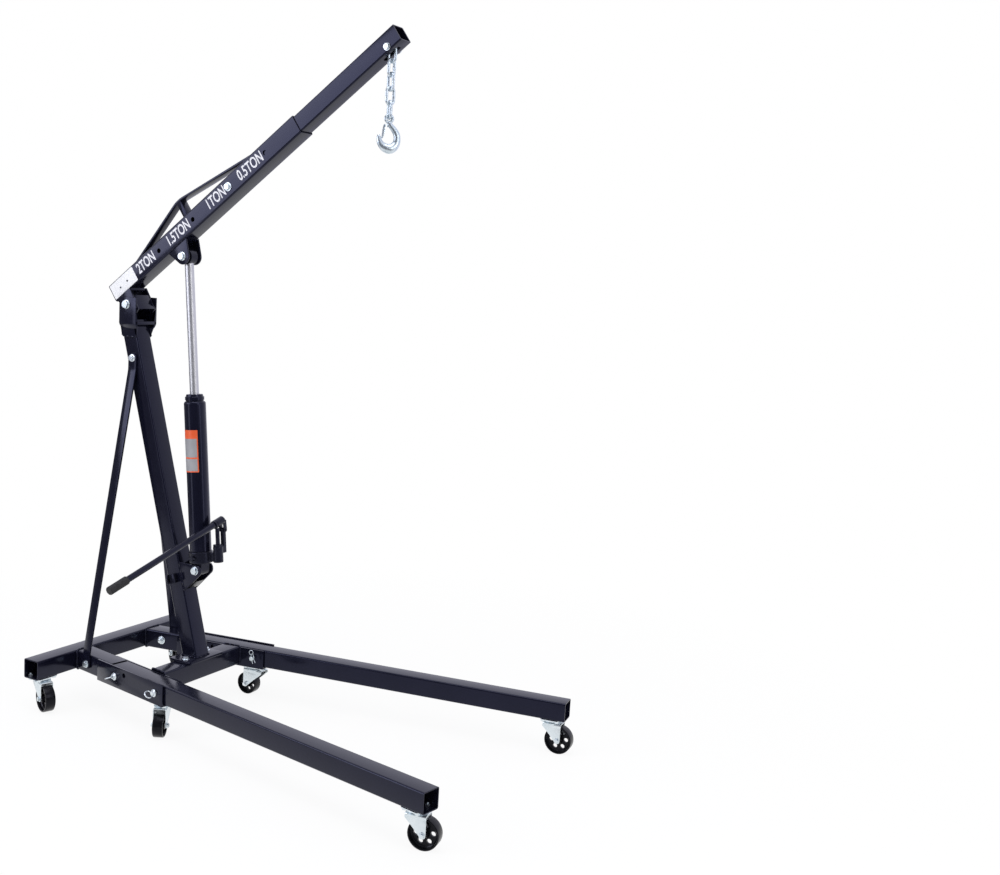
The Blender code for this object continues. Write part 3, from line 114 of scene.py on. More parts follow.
def ranged(tree, source, limits):
    """A value carried from one range to another: the limits are from low, from high, to low, to high."""
    node = tree.nodes.new("ShaderNodeMapRange")
    for socket, value in zip(node.inputs[1:5], limits):
        socket.default_value = value
    tree.links.new(source, node.inputs[0])
    return node.outputs[0]


def measured(tree, operation, coordinates, vector=None):
    """A vector operation on the surface's or the sky's own coordinates, as one number."""
    node = tree.nodes.new("ShaderNodeVectorMath")
    node.operation = operation
    tree.links.new(tree.nodes.new("ShaderNodeTexCoord").outputs[coordinates], node.inputs[0])
    if vector:
        node.inputs[1].default_value = vector
    return node.outputs["Value"]


# %% Floor
FLOOR_REACH = 2.6
FLOOR_PAPER, FLOOR_FADE = (0.86, 0.86, 0.87, 1), (0.7, 2.4, 0.90, 1.0)
WHITE = (1, 1, 1, 1)
floor_corners = FLOOR_REACH * np.array([(-1, -1, 0), (1, -1, 0), (1, 1, 0), (-1, 1, 0)])
floor_mesh = bpy.data.meshes.new("studio_floor")
floor_mesh.from_pydata(floor_corners.tolist(), [], [(0, 1, 2, 3)])
floor = bpy.data.objects.new("studio_floor", floor_mesh)
scene.collection.objects.link(floor)
floor_paper = bpy.data.materials.new("floor_paper")
floor_paper.use_nodes = True
tree = floor_paper.node_tree
tree.nodes.clear()
paper = tree.nodes.new("ShaderNodeBsdfDiffuse")
paper.inputs["Color"].default_value = FLOOR_PAPER
glow = tree.nodes.new("ShaderNodeEmission")
glow.inputs["Color"].default_value = WHITE
fade = ranged(tree, measured(tree, "LENGTH", "Object"), FLOOR_FADE)
seen = ray_share(tree, "Is Camera Ray", "Is Glossy Ray", "Is Transmission Ray")
mix = blend(tree, seen, paper, blend(tree, fade, paper, glow))
out = tree.nodes.new("ShaderNodeOutputMaterial")
tree.links.new(mix.outputs[0], out.inputs["Surface"])
floor_mesh.materials.append(floor_paper)
print("floor reaches", FLOOR_REACH, "m")

# %% Sky
sky = bpy.data.worlds.new("studio_sky")
scene.world = sky
sky.use_nodes = True
tree = sky.node_tree
tree.nodes.clear()
UP, BACKDROP_SIDE = (0.0, 0.0, 1.0), (0.0, 0.8, 0.6)


def backdrop(direction, tint, reach, levels):
    """A sky whose strength grows with the cosine between the ray and a direction."""
    light = tree.nodes.new("ShaderNodeBackground")
    light.inputs["Color"].default_value = (*tint, 1)
    strength = ranged(tree, measured(tree, "DOT_PRODUCT", "Generated", direction), (*reach, *levels))
    tree.links.new(strength, light.inputs["Strength"])
    return light


soft = backdrop(UP, (0.94, 0.95, 1.0), (0.0, 0.75), (0.34, 0.82))
mirrored = backdrop(BACKDROP_SIDE, (0.87, 0.87, 1.0), (-0.3, 0.35), (0.2, 1.0))
white = tree.nodes.new("ShaderNodeBackground")
white.inputs["Color"].default_value = WHITE
mix = blend(tree, ray_share(tree, "Is Glossy Ray"), soft, mirrored)
mix = blend(tree, ray_share(tree, "Is Camera Ray", "Is Transmission Ray"), mix, white)
out = tree.nodes.new("ShaderNodeOutputWorld")
tree.links.new(mix.outputs[0], out.inputs["Surface"])
print("sky brightens towards", BACKDROP_SIDE, "in reflections")


# %% Lamps
def lamp(name, place, target, size, power, tint=(1, 1, 1)):
    """A lamp of a width and height that faces a target."""
    data = bpy.data.lights.new(name, "AREA")
    data.color = tint
    data.shape = "RECTANGLE"
    data.size, data.size_y = size
    data.energy = power
    thing = bpy.data.objects.new(name, data)
    thing.location = place
    thing.rotation_euler = (Vector(place) - Vector(target)).to_track_quat("Z", "Y").to_euler()
    scene.collection.objects.link(thing)


lamp("overhead_lamp", (0.2, -0.6, 4.6), (-0.1, 0.0, 0.8), (3.0, 3.0), 62)
lamp("boom_lamp", (-2.45, -3.2, 2.30), (0.0, 0.0, 1.75), (2.9, 2.0), 70, (0.86, 0.88, 1.0))
lamp("left_strip", (-1.75, -2.65, 0.80), (-0.4, 0.0, 0.75), (0.70, 1.5), 6)
lamp("front_strip", (2.6, 0.15, 0.80), (-0.4, 0.0, 0.75), (0.60, 1.5), 4)
lamp("right_lamp", (3.6, -1.0, 2.4), (0.0, 0.0, 0.8), (1.6, 1.6), 24)
print("lamps:", len(bpy.data.lights))

# %% [markdown]
# ## Finishes
# Every finish is built from noises in object space: broad patches mix two near tones, a finer noise
# moves the roughness, and the finest lifts the surface as a bump. For the black paint that is the
# faint orange peel of sprayed enamel; for the cast wheels it is sand grain; for the zinc it is the
# cloudy spangle of plating. Constants go straight on the shader's own sockets.

# %% Finishes
TONE_STOPS, ROUGH_STOPS = (0.35, 0.68), (0.3, 0.7)
PATCH_DETAIL, ROUGH_DETAIL, GRAIN_DETAIL = 4.0, 3.0, 2.0


def finish(name, dark, light, patch, rough, rough_scale, grain_scale, grain, depth, **sockets):
    """A shader whose colour, roughness and bump come from three noises in object space."""
    material = bpy.data.materials.new(name)
    material.use_nodes = True
    tree = material.node_tree
    shader = tree.nodes["Principled BSDF"]
    place = tree.nodes.new("ShaderNodeTexCoord")

    def noise(scale, detail):
        node = tree.nodes.new("ShaderNodeTexNoise")
        node.inputs["Scale"].default_value = scale
        node.inputs["Detail"].default_value = detail
        tree.links.new(place.outputs["Object"], node.inputs["Vector"])
        return node.outputs["Fac"]

    tones = tree.nodes.new("ShaderNodeValToRGB")
    for element, position, tone in zip(tones.color_ramp.elements, TONE_STOPS, (dark, light)):
        element.position = position
        element.color = (*tone, 1)
    tree.links.new(noise(patch, PATCH_DETAIL), tones.inputs[0])
    tree.links.new(tones.outputs[0], shader.inputs["Base Color"])
    sheen = ranged(tree, noise(rough_scale, ROUGH_DETAIL), (*ROUGH_STOPS, *rough))
    tree.links.new(sheen, shader.inputs["Roughness"])
    bump = tree.nodes.new("ShaderNodeBump")
    bump.inputs["Strength"].default_value = grain
    bump.inputs["Distance"].default_value = depth
    tree.links.new(noise(grain_scale, GRAIN_DETAIL), bump.inputs["Height"])
    tree.links.new(bump.outputs[0], shader.inputs["Normal"])
    for socket, value in sockets.items():
        shader.inputs[socket.replace("_", " ")].default_value = value
    return material


BLUE_GLOSS = (0.165, 0.172, 0.27, 1.0)
IRON_GLOSS = (0.20, 0.20, 0.24, 1.0)
PAINT = finish("black_enamel", (0.0042, 0.0044, 0.0105), (0.0062, 0.0064, 0.0140), 7.0, (0.13, 0.18),
               45.0, 650.0, 0.02, 0.0001, IOR=1.8, Specular_Tint=BLUE_GLOSS)
CAST_PAINT = finish("black_cast_paint", (0.0042, 0.0044, 0.0080), (0.0070, 0.0072, 0.0115), 30.0,
                    (0.24, 0.36), 120.0, 420.0, 0.15, 0.0005, IOR=1.8, Specular_Tint=BLUE_GLOSS)
ZINC = finish("zinc_plating", (0.68, 0.75, 0.79), (0.78, 0.83, 0.86), 24.0, (0.28, 0.38),
              90.0, 900.0, 0.02, 0.0001, Metallic=1.0)
CHAIN_ZINC = finish("chain_plating", (0.58, 0.67, 0.73), (0.72, 0.79, 0.84), 50.0, (0.28, 0.40),
                    120.0, 420.0, 0.03, 0.0002, Metallic=1.0)
CHROME = finish("hard_chrome", (0.56, 0.56, 0.58), (0.62, 0.62, 0.64), 5.0, (0.40, 0.46),
                30.0, 60.0, 0.001, 0.0001, Metallic=1.0)
IRON = finish("cast_wheel_iron", (0.0030, 0.0032, 0.0042), (0.0060, 0.0063, 0.0075), 60.0, (0.18, 0.28),
              160.0, 750.0, 0.10, 0.0004, IOR=1.55, Specular_Tint=IRON_GLOSS)
RUBBER = finish("grip_rubber", (0.0045, 0.0045, 0.0055), (0.0075, 0.0075, 0.0090), 40.0, (0.55, 0.75),
                90.0, 900.0, 0.35, 0.0003)
LABEL_COAT = ((0.30, 0.42), 40.0, 300.0, 0.05, 0.0002)
LABEL = finish("white_label", (0.80, 0.80, 0.80), (0.86, 0.86, 0.86), 14.0, *LABEL_COAT)
ORANGE = finish("orange_label", (0.72, 0.10, 0.025), (0.80, 0.13, 0.035), 20.0, *LABEL_COAT)
GREY = finish("grey_label", (0.26, 0.26, 0.27), (0.34, 0.34, 0.35), 14.0, *LABEL_COAT)
PRINT = finish("white_print", (0.72, 0.72, 0.74), (0.84, 0.84, 0.86), 120.0, (0.40, 0.55),
               90.0, 500.0, 0.05, 0.0001)
print("finishes:", [material.name for material in bpy.data.materials])

# %% [markdown]
# ## Shells and places
# A shell is a grid of points with its faces. Every shell is worked out in a small frame of its own,
# such as the boom's (x along the tube) or a leg's (x along the splay), and placed by one matrix
# product. Placing objects with Blender transforms would do the same, but then patterns on object
# coordinates would turn with the object, so the place goes into the mesh.


# %% Shells
def shell(grid, closed=False):
    """Quads between neighbours on a run of closed rings, with n-gons on the first and last ring."""
    rows, columns = grid.shape[:2]
    i, j = np.meshgrid(np.arange(rows if closed else rows - 1), np.arange(columns), indexing="ij")
    i, j = i.ravel(), j.ravel()
    i2, j2 = (i + 1) % rows, (j + 1) % columns
    quads = np.stack([i * columns + j, i2 * columns + j, i2 * columns + j2, i * columns + j2], 1)
    first = np.arange(columns)
    ends = [] if closed else [first.tolist(), (first[::-1] + (rows - 1) * columns).tolist()]
    return grid.reshape(-1, 3).astype(float), quads, ends


def laid(shells, order, flip=(1, 1, 1)):
    """Renames the axes that a shell's numbers run along: xzy lays an outline in x z, thick along y."""
    columns = ["xyz".index(letter) for letter in order]
    result = []
    for points, quads, ends in shells:
        turned = np.empty_like(points)
        turned[:, columns] = points
        result.append((turned * flip, quads, ends))
    return result


def moved(shells, offset=(0, 0, 0), turn=np.eye(3)):
    """Turns shells by a 3 x 3 matrix, then shifts them."""
    return [(points @ turn.T + offset, quads, ends) for points, quads, ends in shells]


def spin(axis, degrees):
    """The 3 x 3 matrix of a turn about x, y or z."""
    return np.array(Matrix.Rotation(math.radians(degrees), 3, axis))


def stand(origin, x_axis, z_axis):
    """A place: its origin and unit rows along x, y and z, where y completes a right-handed set."""
    x = np.asarray(x_axis, float) / np.linalg.norm(x_axis)
    z = np.asarray(z_axis, float)
    z = z - x * (x @ z)
    z = z / np.linalg.norm(z)
    return np.asarray(origin, float), np.array([x, np.cross(z, x), z])


def facing(place, point, direction):
    """A place at a point of another place, whose z axis looks along one of that place's directions."""
    origin, axes = place
    z = np.asarray(direction, float) @ axes
    helper = axes[0] if abs(axes[0] @ z) < 0.9 else axes[2]
    return stand(origin + np.asarray(point, float) @ axes, np.cross(helper, z), z)


# %% Pieces
SHARP = 34.0
MERGE = 1e-7


def mesh_of(name, shells, place, sharp=SHARP):
    """Joins shells into one mesh in the row frame, merges doubles and points its faces outwards."""
    origin, axes = place
    starts = np.cumsum([0] + [len(p) for p, q, e in shells])
    points = np.concatenate([p for p, q, e in shells]) @ axes + origin
    faces = np.concatenate([q + s for (p, q, e), s in zip(shells, starts)]).tolist()
    faces += [[k + int(s) for k in end] for (p, q, e), s in zip(shells, starts) for end in e]
    mesh = bpy.data.meshes.new(name)
    mesh.from_pydata(points.tolist(), [], faces)
    bm = bmesh.new()
    bm.from_mesh(mesh)
    bmesh.ops.remove_doubles(bm, verts=bm.verts, dist=MERGE)
    bmesh.ops.recalc_face_normals(bm, faces=bm.faces)
    bm.to_mesh(mesh)
    bm.free()
    mesh.shade_smooth()
    mesh.set_sharp_from_angle(angle=math.radians(sharp))
    return mesh


def piece(name, shells, place, material, body, nodes=(), sharp=SHARP):
    """An object of those shells that moves with a body and stands for the nodes it names."""
    mesh = mesh_of(name, shells, place, sharp)
    mesh.materials.append(material)
    thing = bpy.data.objects.new(name, mesh)
    scene.collection.objects.link(thing)
    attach(thing, body)
    if nodes:
        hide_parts(*nodes)
    print(f"{name}: {len(mesh.polygons)} faces on {body}")
    return thing


def zinc(name, shells, place, body="frame", nodes=()):
    """A zinc-plated piece."""
    piece(name, shells, place, ZINC, body, nodes)


def settled(thing):
    """The mesh that an object's modifiers give, after which they are taken off."""
    ready = thing.evaluated_get(bpy.context.evaluated_depsgraph_get())
    mesh = bpy.data.meshes.new_from_object(ready)
    thing.modifiers.clear()
    return mesh


def drilled(thing, cutters, place):
    """Cuts shells out of a finished piece and keeps the result as its mesh."""
    tools = []
    for cutter in cutters:
        tool = bpy.data.objects.new("cutter", mesh_of("cutter", [cutter], place))
        scene.collection.objects.link(tool)
        modifier = thing.modifiers.new("hole", "BOOLEAN")
        modifier.operation = "DIFFERENCE"
        modifier.solver = "EXACT"
        modifier.object = tool
        tools.append(tool)
    thing.data = settled(thing)
    thing.data.set_sharp_from_angle(angle=math.radians(SHARP))
    for tool in tools:
        bpy.data.meshes.remove(tool.data)


def fused(thing, voxel, rounds):
    """Melts overlapping shells into one skin of small cells and smooths it, as a casting is."""
    melt = thing.modifiers.new("melt", "REMESH")
    melt.mode = "VOXEL"
    melt.voxel_size = voxel
    melt.use_smooth_shade = True
    soften = thing.modifiers.new("soften", "SMOOTH")
    soften.factor = 0.5
    soften.iterations = rounds
    material = thing.data.materials[0]
    mesh = settled(thing)
    thing.data = mesh
    mesh.materials.clear()
    mesh.materials.append(material)
    mesh.shade_smooth()
    print(f"{thing.name}: melted to {len(mesh.polygons)} faces")


# %% [markdown]
# ## The forms that repeat
# A hoist is mostly square tube, flat plate, round bar, turned parts and bolts. Each gets one
# function: the tube is a rounded square carried along its axis and back through its bore, so its
# wall shows at open ends; the plate rounds its edges with a quarter turn; the bolt head is a
# hexagon whose top is cut by a cone. Blender's own cylinders and bevels would do for most of them,
# but one formula for each keeps the edges alike on every piece.

# %% Outlines
EASE_SHARE, LEAST_SPREAD = 0.45, 0.4


def rounded(width, depth, corner, steps=5):
    """A rectangle with round corners: four quarter arcs, each about a point inside its corner."""
    t = np.linspace(0, np.pi / 2, steps + 1)
    angle = t + np.arange(4)[:, None] * np.pi / 2
    a = np.array([1, -1, -1, 1])[:, None] * (width / 2 - corner) + corner * np.cos(angle)
    b = np.array([1, 1, -1, -1])[:, None] * (depth / 2 - corner) + corner * np.sin(angle)
    return np.stack([a, b], -1).reshape(-1, 2)


def eased(points, radius, steps=4):
    """Rounds a closed outline: near each corner, a quadratic curve from edge to edge."""
    p = np.asarray(points, float)
    back, on = np.roll(p, 1, 0) - p, np.roll(p, -1, 0) - p
    back_length = np.linalg.norm(back, axis=1, keepdims=True)
    on_length = np.linalg.norm(on, axis=1, keepdims=True)
    radius = np.broadcast_to(np.asarray(radius, float), len(p))[:, None]
    r = np.minimum(radius, EASE_SHARE * np.minimum(back_length, on_length))
    start, end = (p + back / back_length * r)[:, None], (p + on / on_length * r)[:, None]
    s = np.linspace(0, 1, steps + 1)[None, :, None]
    return ((1 - s) ** 2 * start + 2 * s * (1 - s) * p[:, None] + s**2 * end).reshape(-1, 2)


def arc(centre, radius, start, end, steps):
    """Points round a centre, from one angle to another in degrees."""
    t = np.radians(np.linspace(start, end, steps + 1))
    return np.stack([centre[0] + radius * np.cos(t), centre[1] + radius * np.sin(t)], 1)


def inset(outline, distance):
    """Moves an anticlockwise outline inwards: each corner along the sum of its edges' normals."""
    edge = np.roll(outline, -1, 0) - outline
    normal = np.stack([edge[:, 1], -edge[:, 0]], 1) / np.linalg.norm(edge, axis=1, keepdims=True)
    before = np.roll(normal, 1, 0)
    spread = 1 + np.sum(before * normal, 1, keepdims=True)
    return outline - distance * (before + normal) / np.maximum(spread, LEAST_SPREAD)


# %% Plates and tubes
PLATE_EDGE, WEB_EDGE, TUBE_EDGE, ROD_EDGE, CUTTER_EDGE = 0.001, 0.0006, 0.0006, 0.0004, 0.0001
BORE_REACH = 0.06


def plate(outline, low, high, edge=PLATE_EDGE, steps=3):
    """An outline (a, b) from height low to high, each rim eased by a quarter turn of radius edge."""
    outline = np.asarray(outline, float)
    a, b = outline.T
    if np.sum(a * np.roll(b, -1) - b * np.roll(a, -1)) < 0:
        outline = outline[::-1]
    t = np.linspace(0, np.pi / 2, steps)
    inward, rise = edge * (1 - np.sin(t)), edge * (1 - np.cos(t))
    inward = np.concatenate([inward, inward[::-1]])
    level = np.concatenate([low + rise, (high - rise)[::-1]])
    rings = [np.column_stack([inset(outline, i), np.full(len(outline), h)]) for i, h in zip(inward, level)]
    return shell(np.stack(rings))


def slab(outline, low, high, edge=PLATE_EDGE, order="xzy", flip=(1, 1, 1)):
    """A plate whose outline lies in x z and whose thickness runs along y, or as the order says."""
    return laid([plate(outline, low, high, edge)], order, flip)


def twin(outline, near, far, edge=PLATE_EDGE, order="xzy"):
    """Two such plates that mirror each other, from near to far on either side of the middle plane."""
    return [slab(outline, *sorted((s * near, s * far)), edge, order)[0] for s in (-1, 1)]


def tube(width, depth, wall, start, end, corner=0.006):
    """A square tube along x: outside, end rim, bore and other rim as one closed run of sections.

    An end is (place, slope over y, slope over z), so that a cut can lie aslant.
    """
    start, end = (np.array([*np.atleast_1d(e), 0, 0][:3], float) for e in (start, end))
    edge = TUBE_EDGE
    bore = max(corner - wall, 2 * edge)
    outer = rounded(width, depth, corner)
    rim = rounded(width - 2 * edge, depth - 2 * edge, corner - edge)
    mouth = rounded(width - 2 * (wall - edge), depth - 2 * (wall - edge), bore + edge)
    inner = rounded(width - 2 * wall, depth - 2 * wall, bore)

    def ring(section, cut, shift):
        return np.column_stack([cut[0] + section @ cut[1:] + shift, section])

    return shell(np.stack([
        ring(outer, start, edge), ring(outer, end, -edge), ring(rim, end, 0), ring(mouth, end, 0),
        ring(inner, end, -edge), ring(inner, start, edge), ring(mouth, start, 0), ring(rim, start, 0),
    ]), True)


# %% Turned parts
def revolved(profile, steps, closed=False):
    """A profile of (radius, height) carried round z: (r cos t, r sin t, h)."""
    r, h = np.asarray(profile, float).T
    t = np.linspace(0, 2 * np.pi, steps, endpoint=False)
    grid = np.stack([np.outer(r, np.cos(t)), np.outer(r, np.sin(t)), np.outer(h, np.ones(steps))], -1)
    return shell(grid, closed)


def disc(radius, low, high, edge, steps):
    """A turned disc or rod from low to high along z, with eased rims."""
    rim = np.array([(edge, 0), (edge * 0.3, edge * 0.3), (0, edge)])
    lower = [radius, low] + rim * [-1, 1]
    upper = [radius, high] - rim[::-1]
    return revolved(np.concatenate([lower, upper]), steps)


def cross_rod(radius, reach, spot=(0, 0, 0), edge=ROD_EDGE, steps=32):
    """A rod along y that reaches as far to either side of a spot."""
    return moved(laid([disc(radius, -reach, reach, edge, steps)], "xzy"), spot)


def bores(radius, spots, steps=28):
    """Cutters for round holes along y, at spots in x z."""
    return [cross_rod(radius, BORE_REACH, (x, 0, z), CUTTER_EDGE, steps)[0] for x, z in spots]


# %% Bars and seams
SEAM, SEAM_ROOM, SEAM_CORNER = 0.003, 0.002, 0.007
BEAD_STEP, BEAD_SIDES, RIPPLES = 0.0011, 8, ((0.13, 3.3), (0.06, 0.71))


def paced(points, step, closed=False):
    """The same line with points at even steps along it."""
    p = np.asarray(points, float)
    if closed:
        p = np.concatenate([p, p[:1]])
    run = np.concatenate([[0], np.cumsum(np.linalg.norm(np.diff(p, axis=0), axis=1))])
    at = np.linspace(0, run[-1], max(int(run[-1] / step), 6) + 1)
    if closed:
        at = at[:-1]
    return np.stack([np.interp(at, run, p[:, k]) for k in range(p.shape[1])], 1)


def curved(points, steps):
    """A smooth line through points: each stretch is a cubic whose slopes come from the neighbours."""
    p = np.asarray(points, float)
    ends = np.concatenate([[2 * p[0] - p[1]], p, [2 * p[-1] - p[-2]]])
    s = np.linspace(0, 1, steps, endpoint=False)[None, :, None]
    a, b, c, d = (ends[k : len(p) - 1 + k, None] for k in range(4))
    run = 2 * b + (c - a) * s + (2 * a - 5 * b + 4 * c - d) * s**2 + (3 * b - a - 3 * c + d) * s**3
    return np.concatenate([0.5 * run.reshape(-1, p.shape[1]), p[-1:]])


def bar(path, radius, across, sides, closed=False, flat=1.0):
    """A round bar along a line: point + r (flat cos t n + sin t b), where n is nearest to across."""
    path = np.asarray(path, float)
    radius = np.broadcast_to(np.asarray(radius, float), len(path))[:, None, None]
    along = np.roll(path, -1, 0) - np.roll(path, 1, 0) if closed else np.gradient(path, axis=0)
    along = along / np.linalg.norm(along, axis=1, keepdims=True)
    n = across - along * np.sum(along * across, 1, keepdims=True)
    n = n / np.linalg.norm(n, axis=1, keepdims=True)
    b = np.cross(along, n)
    t = np.linspace(0, 2 * np.pi, sides, endpoint=False)[None, :, None]
    return shell(path[:, None] + radius * (flat * np.cos(t) * n[:, None] + np.sin(t) * b[:, None]), closed)


def wire(line, radius, sides, closed=False, flat=1.0, y=0.0):
    """A bar along a line that lies in x z, at a distance y from the middle plane."""
    return bar(np.insert(line, 1, y, axis=1), radius, (0, 1, 0), sides, closed, flat)


def hoop(radius, thick, sides, steps):
    """A ring of round wire in x z."""
    return wire(arc((0, 0), radius, 0, 360, steps)[:-1], thick, sides, True)


def strip(line, wide, thick, edge):
    """A flat bar along a line in x z: each point plus a n + b y over a rounded section (a, b)."""
    line = np.asarray(line, float)
    along = np.gradient(line, axis=0)
    along = along / np.linalg.norm(along, axis=1, keepdims=True)
    section = rounded(thick, wide, edge, 2)
    x = line[:, :1] - along[:, 1:] * section[:, 0]
    z = line[:, 1:] + along[:, :1] * section[:, 0]
    return shell(np.stack([x, np.broadcast_to(section[:, 1], x.shape), z], -1))


def bead(points, across, radius=SEAM, closed=False):
    """A weld seam: a bar whose radius ripples every two millimetres."""
    line = paced(points, BEAD_STEP, closed)
    k = np.arange(len(line))
    ripple = 1 + sum(share * np.sin(k * pace) for share, pace in RIPPLES)
    return bar(line, radius * ripple, across, BEAD_SIDES, closed)


def ring_seam(width, depth, start, slopes, radius=SEAM):
    """A seam round a tube that ends at start: x follows the slopes of the cut over y and z."""
    section = rounded(width + SEAM_ROOM, depth + SEAM_ROOM, SEAM_CORNER)
    return bead(np.column_stack([start + section @ slopes, section]), (1, 0, 0), radius, True)


def twin_seams(ends, across, radius=SEAM):
    """A straight seam between two points, and its mirror image beyond the middle plane."""
    return [bead(np.array(ends) * [1, s, 1], across, radius) for s in (-1, 1)]


# %% Bolts
WASHER_THICK, HEX_STEPS, HEX_CROWN = 0.0016, 48, 0.97
THREAD_ROWS, THREAD_DEPTH, THREAD_TIP, THREAD_TAIL = 25, 0.07, 0.8, 0.002


def hexagon(across, low, height):
    """A hexagon head: radius = half across / cos(angle to the nearest flat), top cut by a cone."""
    t = np.linspace(0, 2 * np.pi, HEX_STEPS, endpoint=False)
    r = across / 2 / np.cos((t + np.pi / 6) % (np.pi / 3) - np.pi / 6)
    crown = np.minimum(r, across / 2 * HEX_CROWN)
    high = low + height + 0 * r
    rows = [(r, low + 0 * r), (r, high - (r - crown) * 0.6), (crown, high), (crown * 0.9, high)]
    return shell(np.stack([np.stack([q * np.cos(t), q * np.sin(t), h], 1) for q, h in rows]))


def bolt_head(across, height, washer):
    """A hexagon head on a washer, standing on z = 0. Without a washer its radius is 0."""
    shells = [hexagon(across, WASHER_THICK, height)]
    if washer:
        shells.append(disc(washer, 0, WASHER_THICK, ROD_EDGE, 36))
    return shells


def nut_end(across, height, washer, shank, tail=THREAD_TAIL):
    """A nut on a washer with the bolt's threaded end: the thread is a saw wave on the radius."""
    h = np.linspace(height, height + WASHER_THICK + tail, THREAD_ROWS)
    r = shank * (1 - THREAD_DEPTH * (np.arange(THREAD_ROWS) % 2))
    r[-1] = shank * THREAD_TIP
    return bolt_head(across, height, washer) + [revolved(np.column_stack([r, h]), 24)]


def bolt_ends(head, nut, place, spot, reach, size, shank, body="frame"):
    """A bolt's head on the near side of a spot and its nut on the far side, each at a reach from it."""
    for name, side, shells in ((head, -1, bolt_head(*size)), (nut, 1, nut_end(*size, shank))):
        zinc(name, shells, facing(place, np.array(spot) + [0, side * reach, 0], (0, side, 0)), body)


# %% [markdown]
# ## Places on the hoist
# The rear cross tube's front face, on the middle plane, is where the base is measured from. The
# legs run off at the splay, the mast leans back, and the boom and the jack have the directions that
# their joints state.

# %% Places
HOIST = stand(HOIST_ORIGIN, (1, 0, 0), (0, 0, 1))
SIDES = {"right": -1, "left": 1}
SPLAY, MAST_LEAN = np.radians([9.42, 15.85])
STUB_SPACING, GAP = 0.320, 0.0003
MAST_TUBE, MAST_WALL, MAST_FRONT, MAST_LENGTH = 0.0635, 0.004, 0.3896, 1.158
MAST_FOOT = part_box("mast_base_plate")[1][2]


def splay_place(side):
    """x along a leg, y to the hoist's left, z up, from the rear tube's front face."""
    origin = HOIST[0] + np.array([0, side * STUB_SPACING / 2, 0])
    return stand(origin, (math.cos(SPLAY), side * math.sin(SPLAY), 0), (0, 0, 1))


boom_x = np.array(joints["boom_reach"]["axis"], float)
BOOM = stand(joints["boom_lift"]["pos_m"], boom_x, (-boom_x[2], 0, boom_x[0]))
jack_z = np.array(joints["ram_stroke"]["axis"], float)
jack_x = (jack_z[2], 0, -jack_z[0])
JACK = stand(joints["ram_tilt"]["pos_m"], jack_x, jack_z)
LEVER = stand(joints["pump_stroke"]["pos_m"], jack_x, jack_z)
mast_deep = MAST_TUBE / math.cos(MAST_LEAN)
mast_x = (math.cos(MAST_LEAN), 0, math.sin(MAST_LEAN))
mast_z = (-math.sin(MAST_LEAN), 0, math.cos(MAST_LEAN))
MAST = stand(HOIST[0] + np.array([MAST_FRONT - mast_deep / 2, 0, MAST_FOOT]), mast_x, mast_z)
print("pivot", np.round(BOOM[0], 4), "jack foot", np.round(JACK[0], 4))

# %% [markdown]
# ## Base: cross tubes, stubs, channels and legs
# Two square tubes cross the base. Stubs are welded to the rear one, open-topped channels of flat
# plate lie round the stubs, and the legs plug into the channels. The tubes could be cubes with a
# bevel, but their open ends show the wall, so each is a section carried out and back.

# %% Rear tube, stubs and legs
DECK = 0.1145
BEAM, BEAM_WALL, REAR_HALF = 0.066, 0.004, 0.3585
LEG, LEG_WALL, LEG_START, LEG_END = 0.0635, 0.0035, 0.207, 1.592
STUB, STUB_END = 0.0665 - 2 * GAP, LEG_START - 0.006
SEAM_OUT = 0.0012
rear_run = laid([tube(BEAM, BEAM, BEAM_WALL, -REAR_HALF, REAR_HALF)], "yxz")
rear_run = moved(rear_run, (-BEAM / 2, 0, DECK + BEAM / 2))
piece("rear_cross_tube", rear_run, HOIST, PAINT, "frame", ["rear_beam"])
for name, side in SIDES.items():
    place = splay_place(side)
    slope = side * math.tan(SPLAY)
    stub = tube(STUB, BEAM, BEAM_WALL, (GAP, slope), STUB_END)
    seam = ring_seam(STUB, BEAM, SEAM_OUT, (slope, 0))
    stub = moved([stub, seam], (0, 0, DECK + BEAM / 2))
    piece(f"{name}_stub_tube", stub, place, PAINT, "frame", [f"{name}_stub"])
    leg = moved([tube(LEG, LEG, LEG_WALL, LEG_START, LEG_END)], (0, 0, DECK + LEG / 2))
    piece(f"{name}_leg_tube", leg, place, PAINT, "frame", [f"{name}_leg"])

# %% Channels
CHANNEL_OUT, CHANNEL_IN, CHANNEL_FLOOR, OUTER_TALL, INNER_TALL = 0.0775, 0.0665, 0.005, 0.0720, 0.0675
CHANNEL_START, CHANNEL_END = 0.1325, 0.486
CHANNEL_EDGE, CHANNEL_EASE, CHANNEL_SEAM = 0.0007, 0.0009, 0.0024
PIN_Z, REAR_PIN, FRONT_PIN, PIN_BORE = DECK + 0.033, 0.233, 0.446, 0.0082
SPARE_BORE = (REAR_PIN + 0.048, PIN_Z + 0.014)
channel_low, channel_deck = DECK - GAP - CHANNEL_FLOOR, DECK - GAP
outer_top, inner_top = channel_low + OUTER_TALL, channel_low + INNER_TALL
half, inner = CHANNEL_OUT / 2, CHANNEL_IN / 2
channel_section = eased([(-half, inner_top), (-half, channel_low), (half, channel_low), (half, outer_top),
                         (inner, outer_top), (inner, channel_deck), (-inner, channel_deck),
                         (-inner, inner_top)], CHANNEL_EASE, 2)
seam_x, seam_y, seam_low = CHANNEL_START - 0.0005, inner + 0.0008, channel_low + 0.003
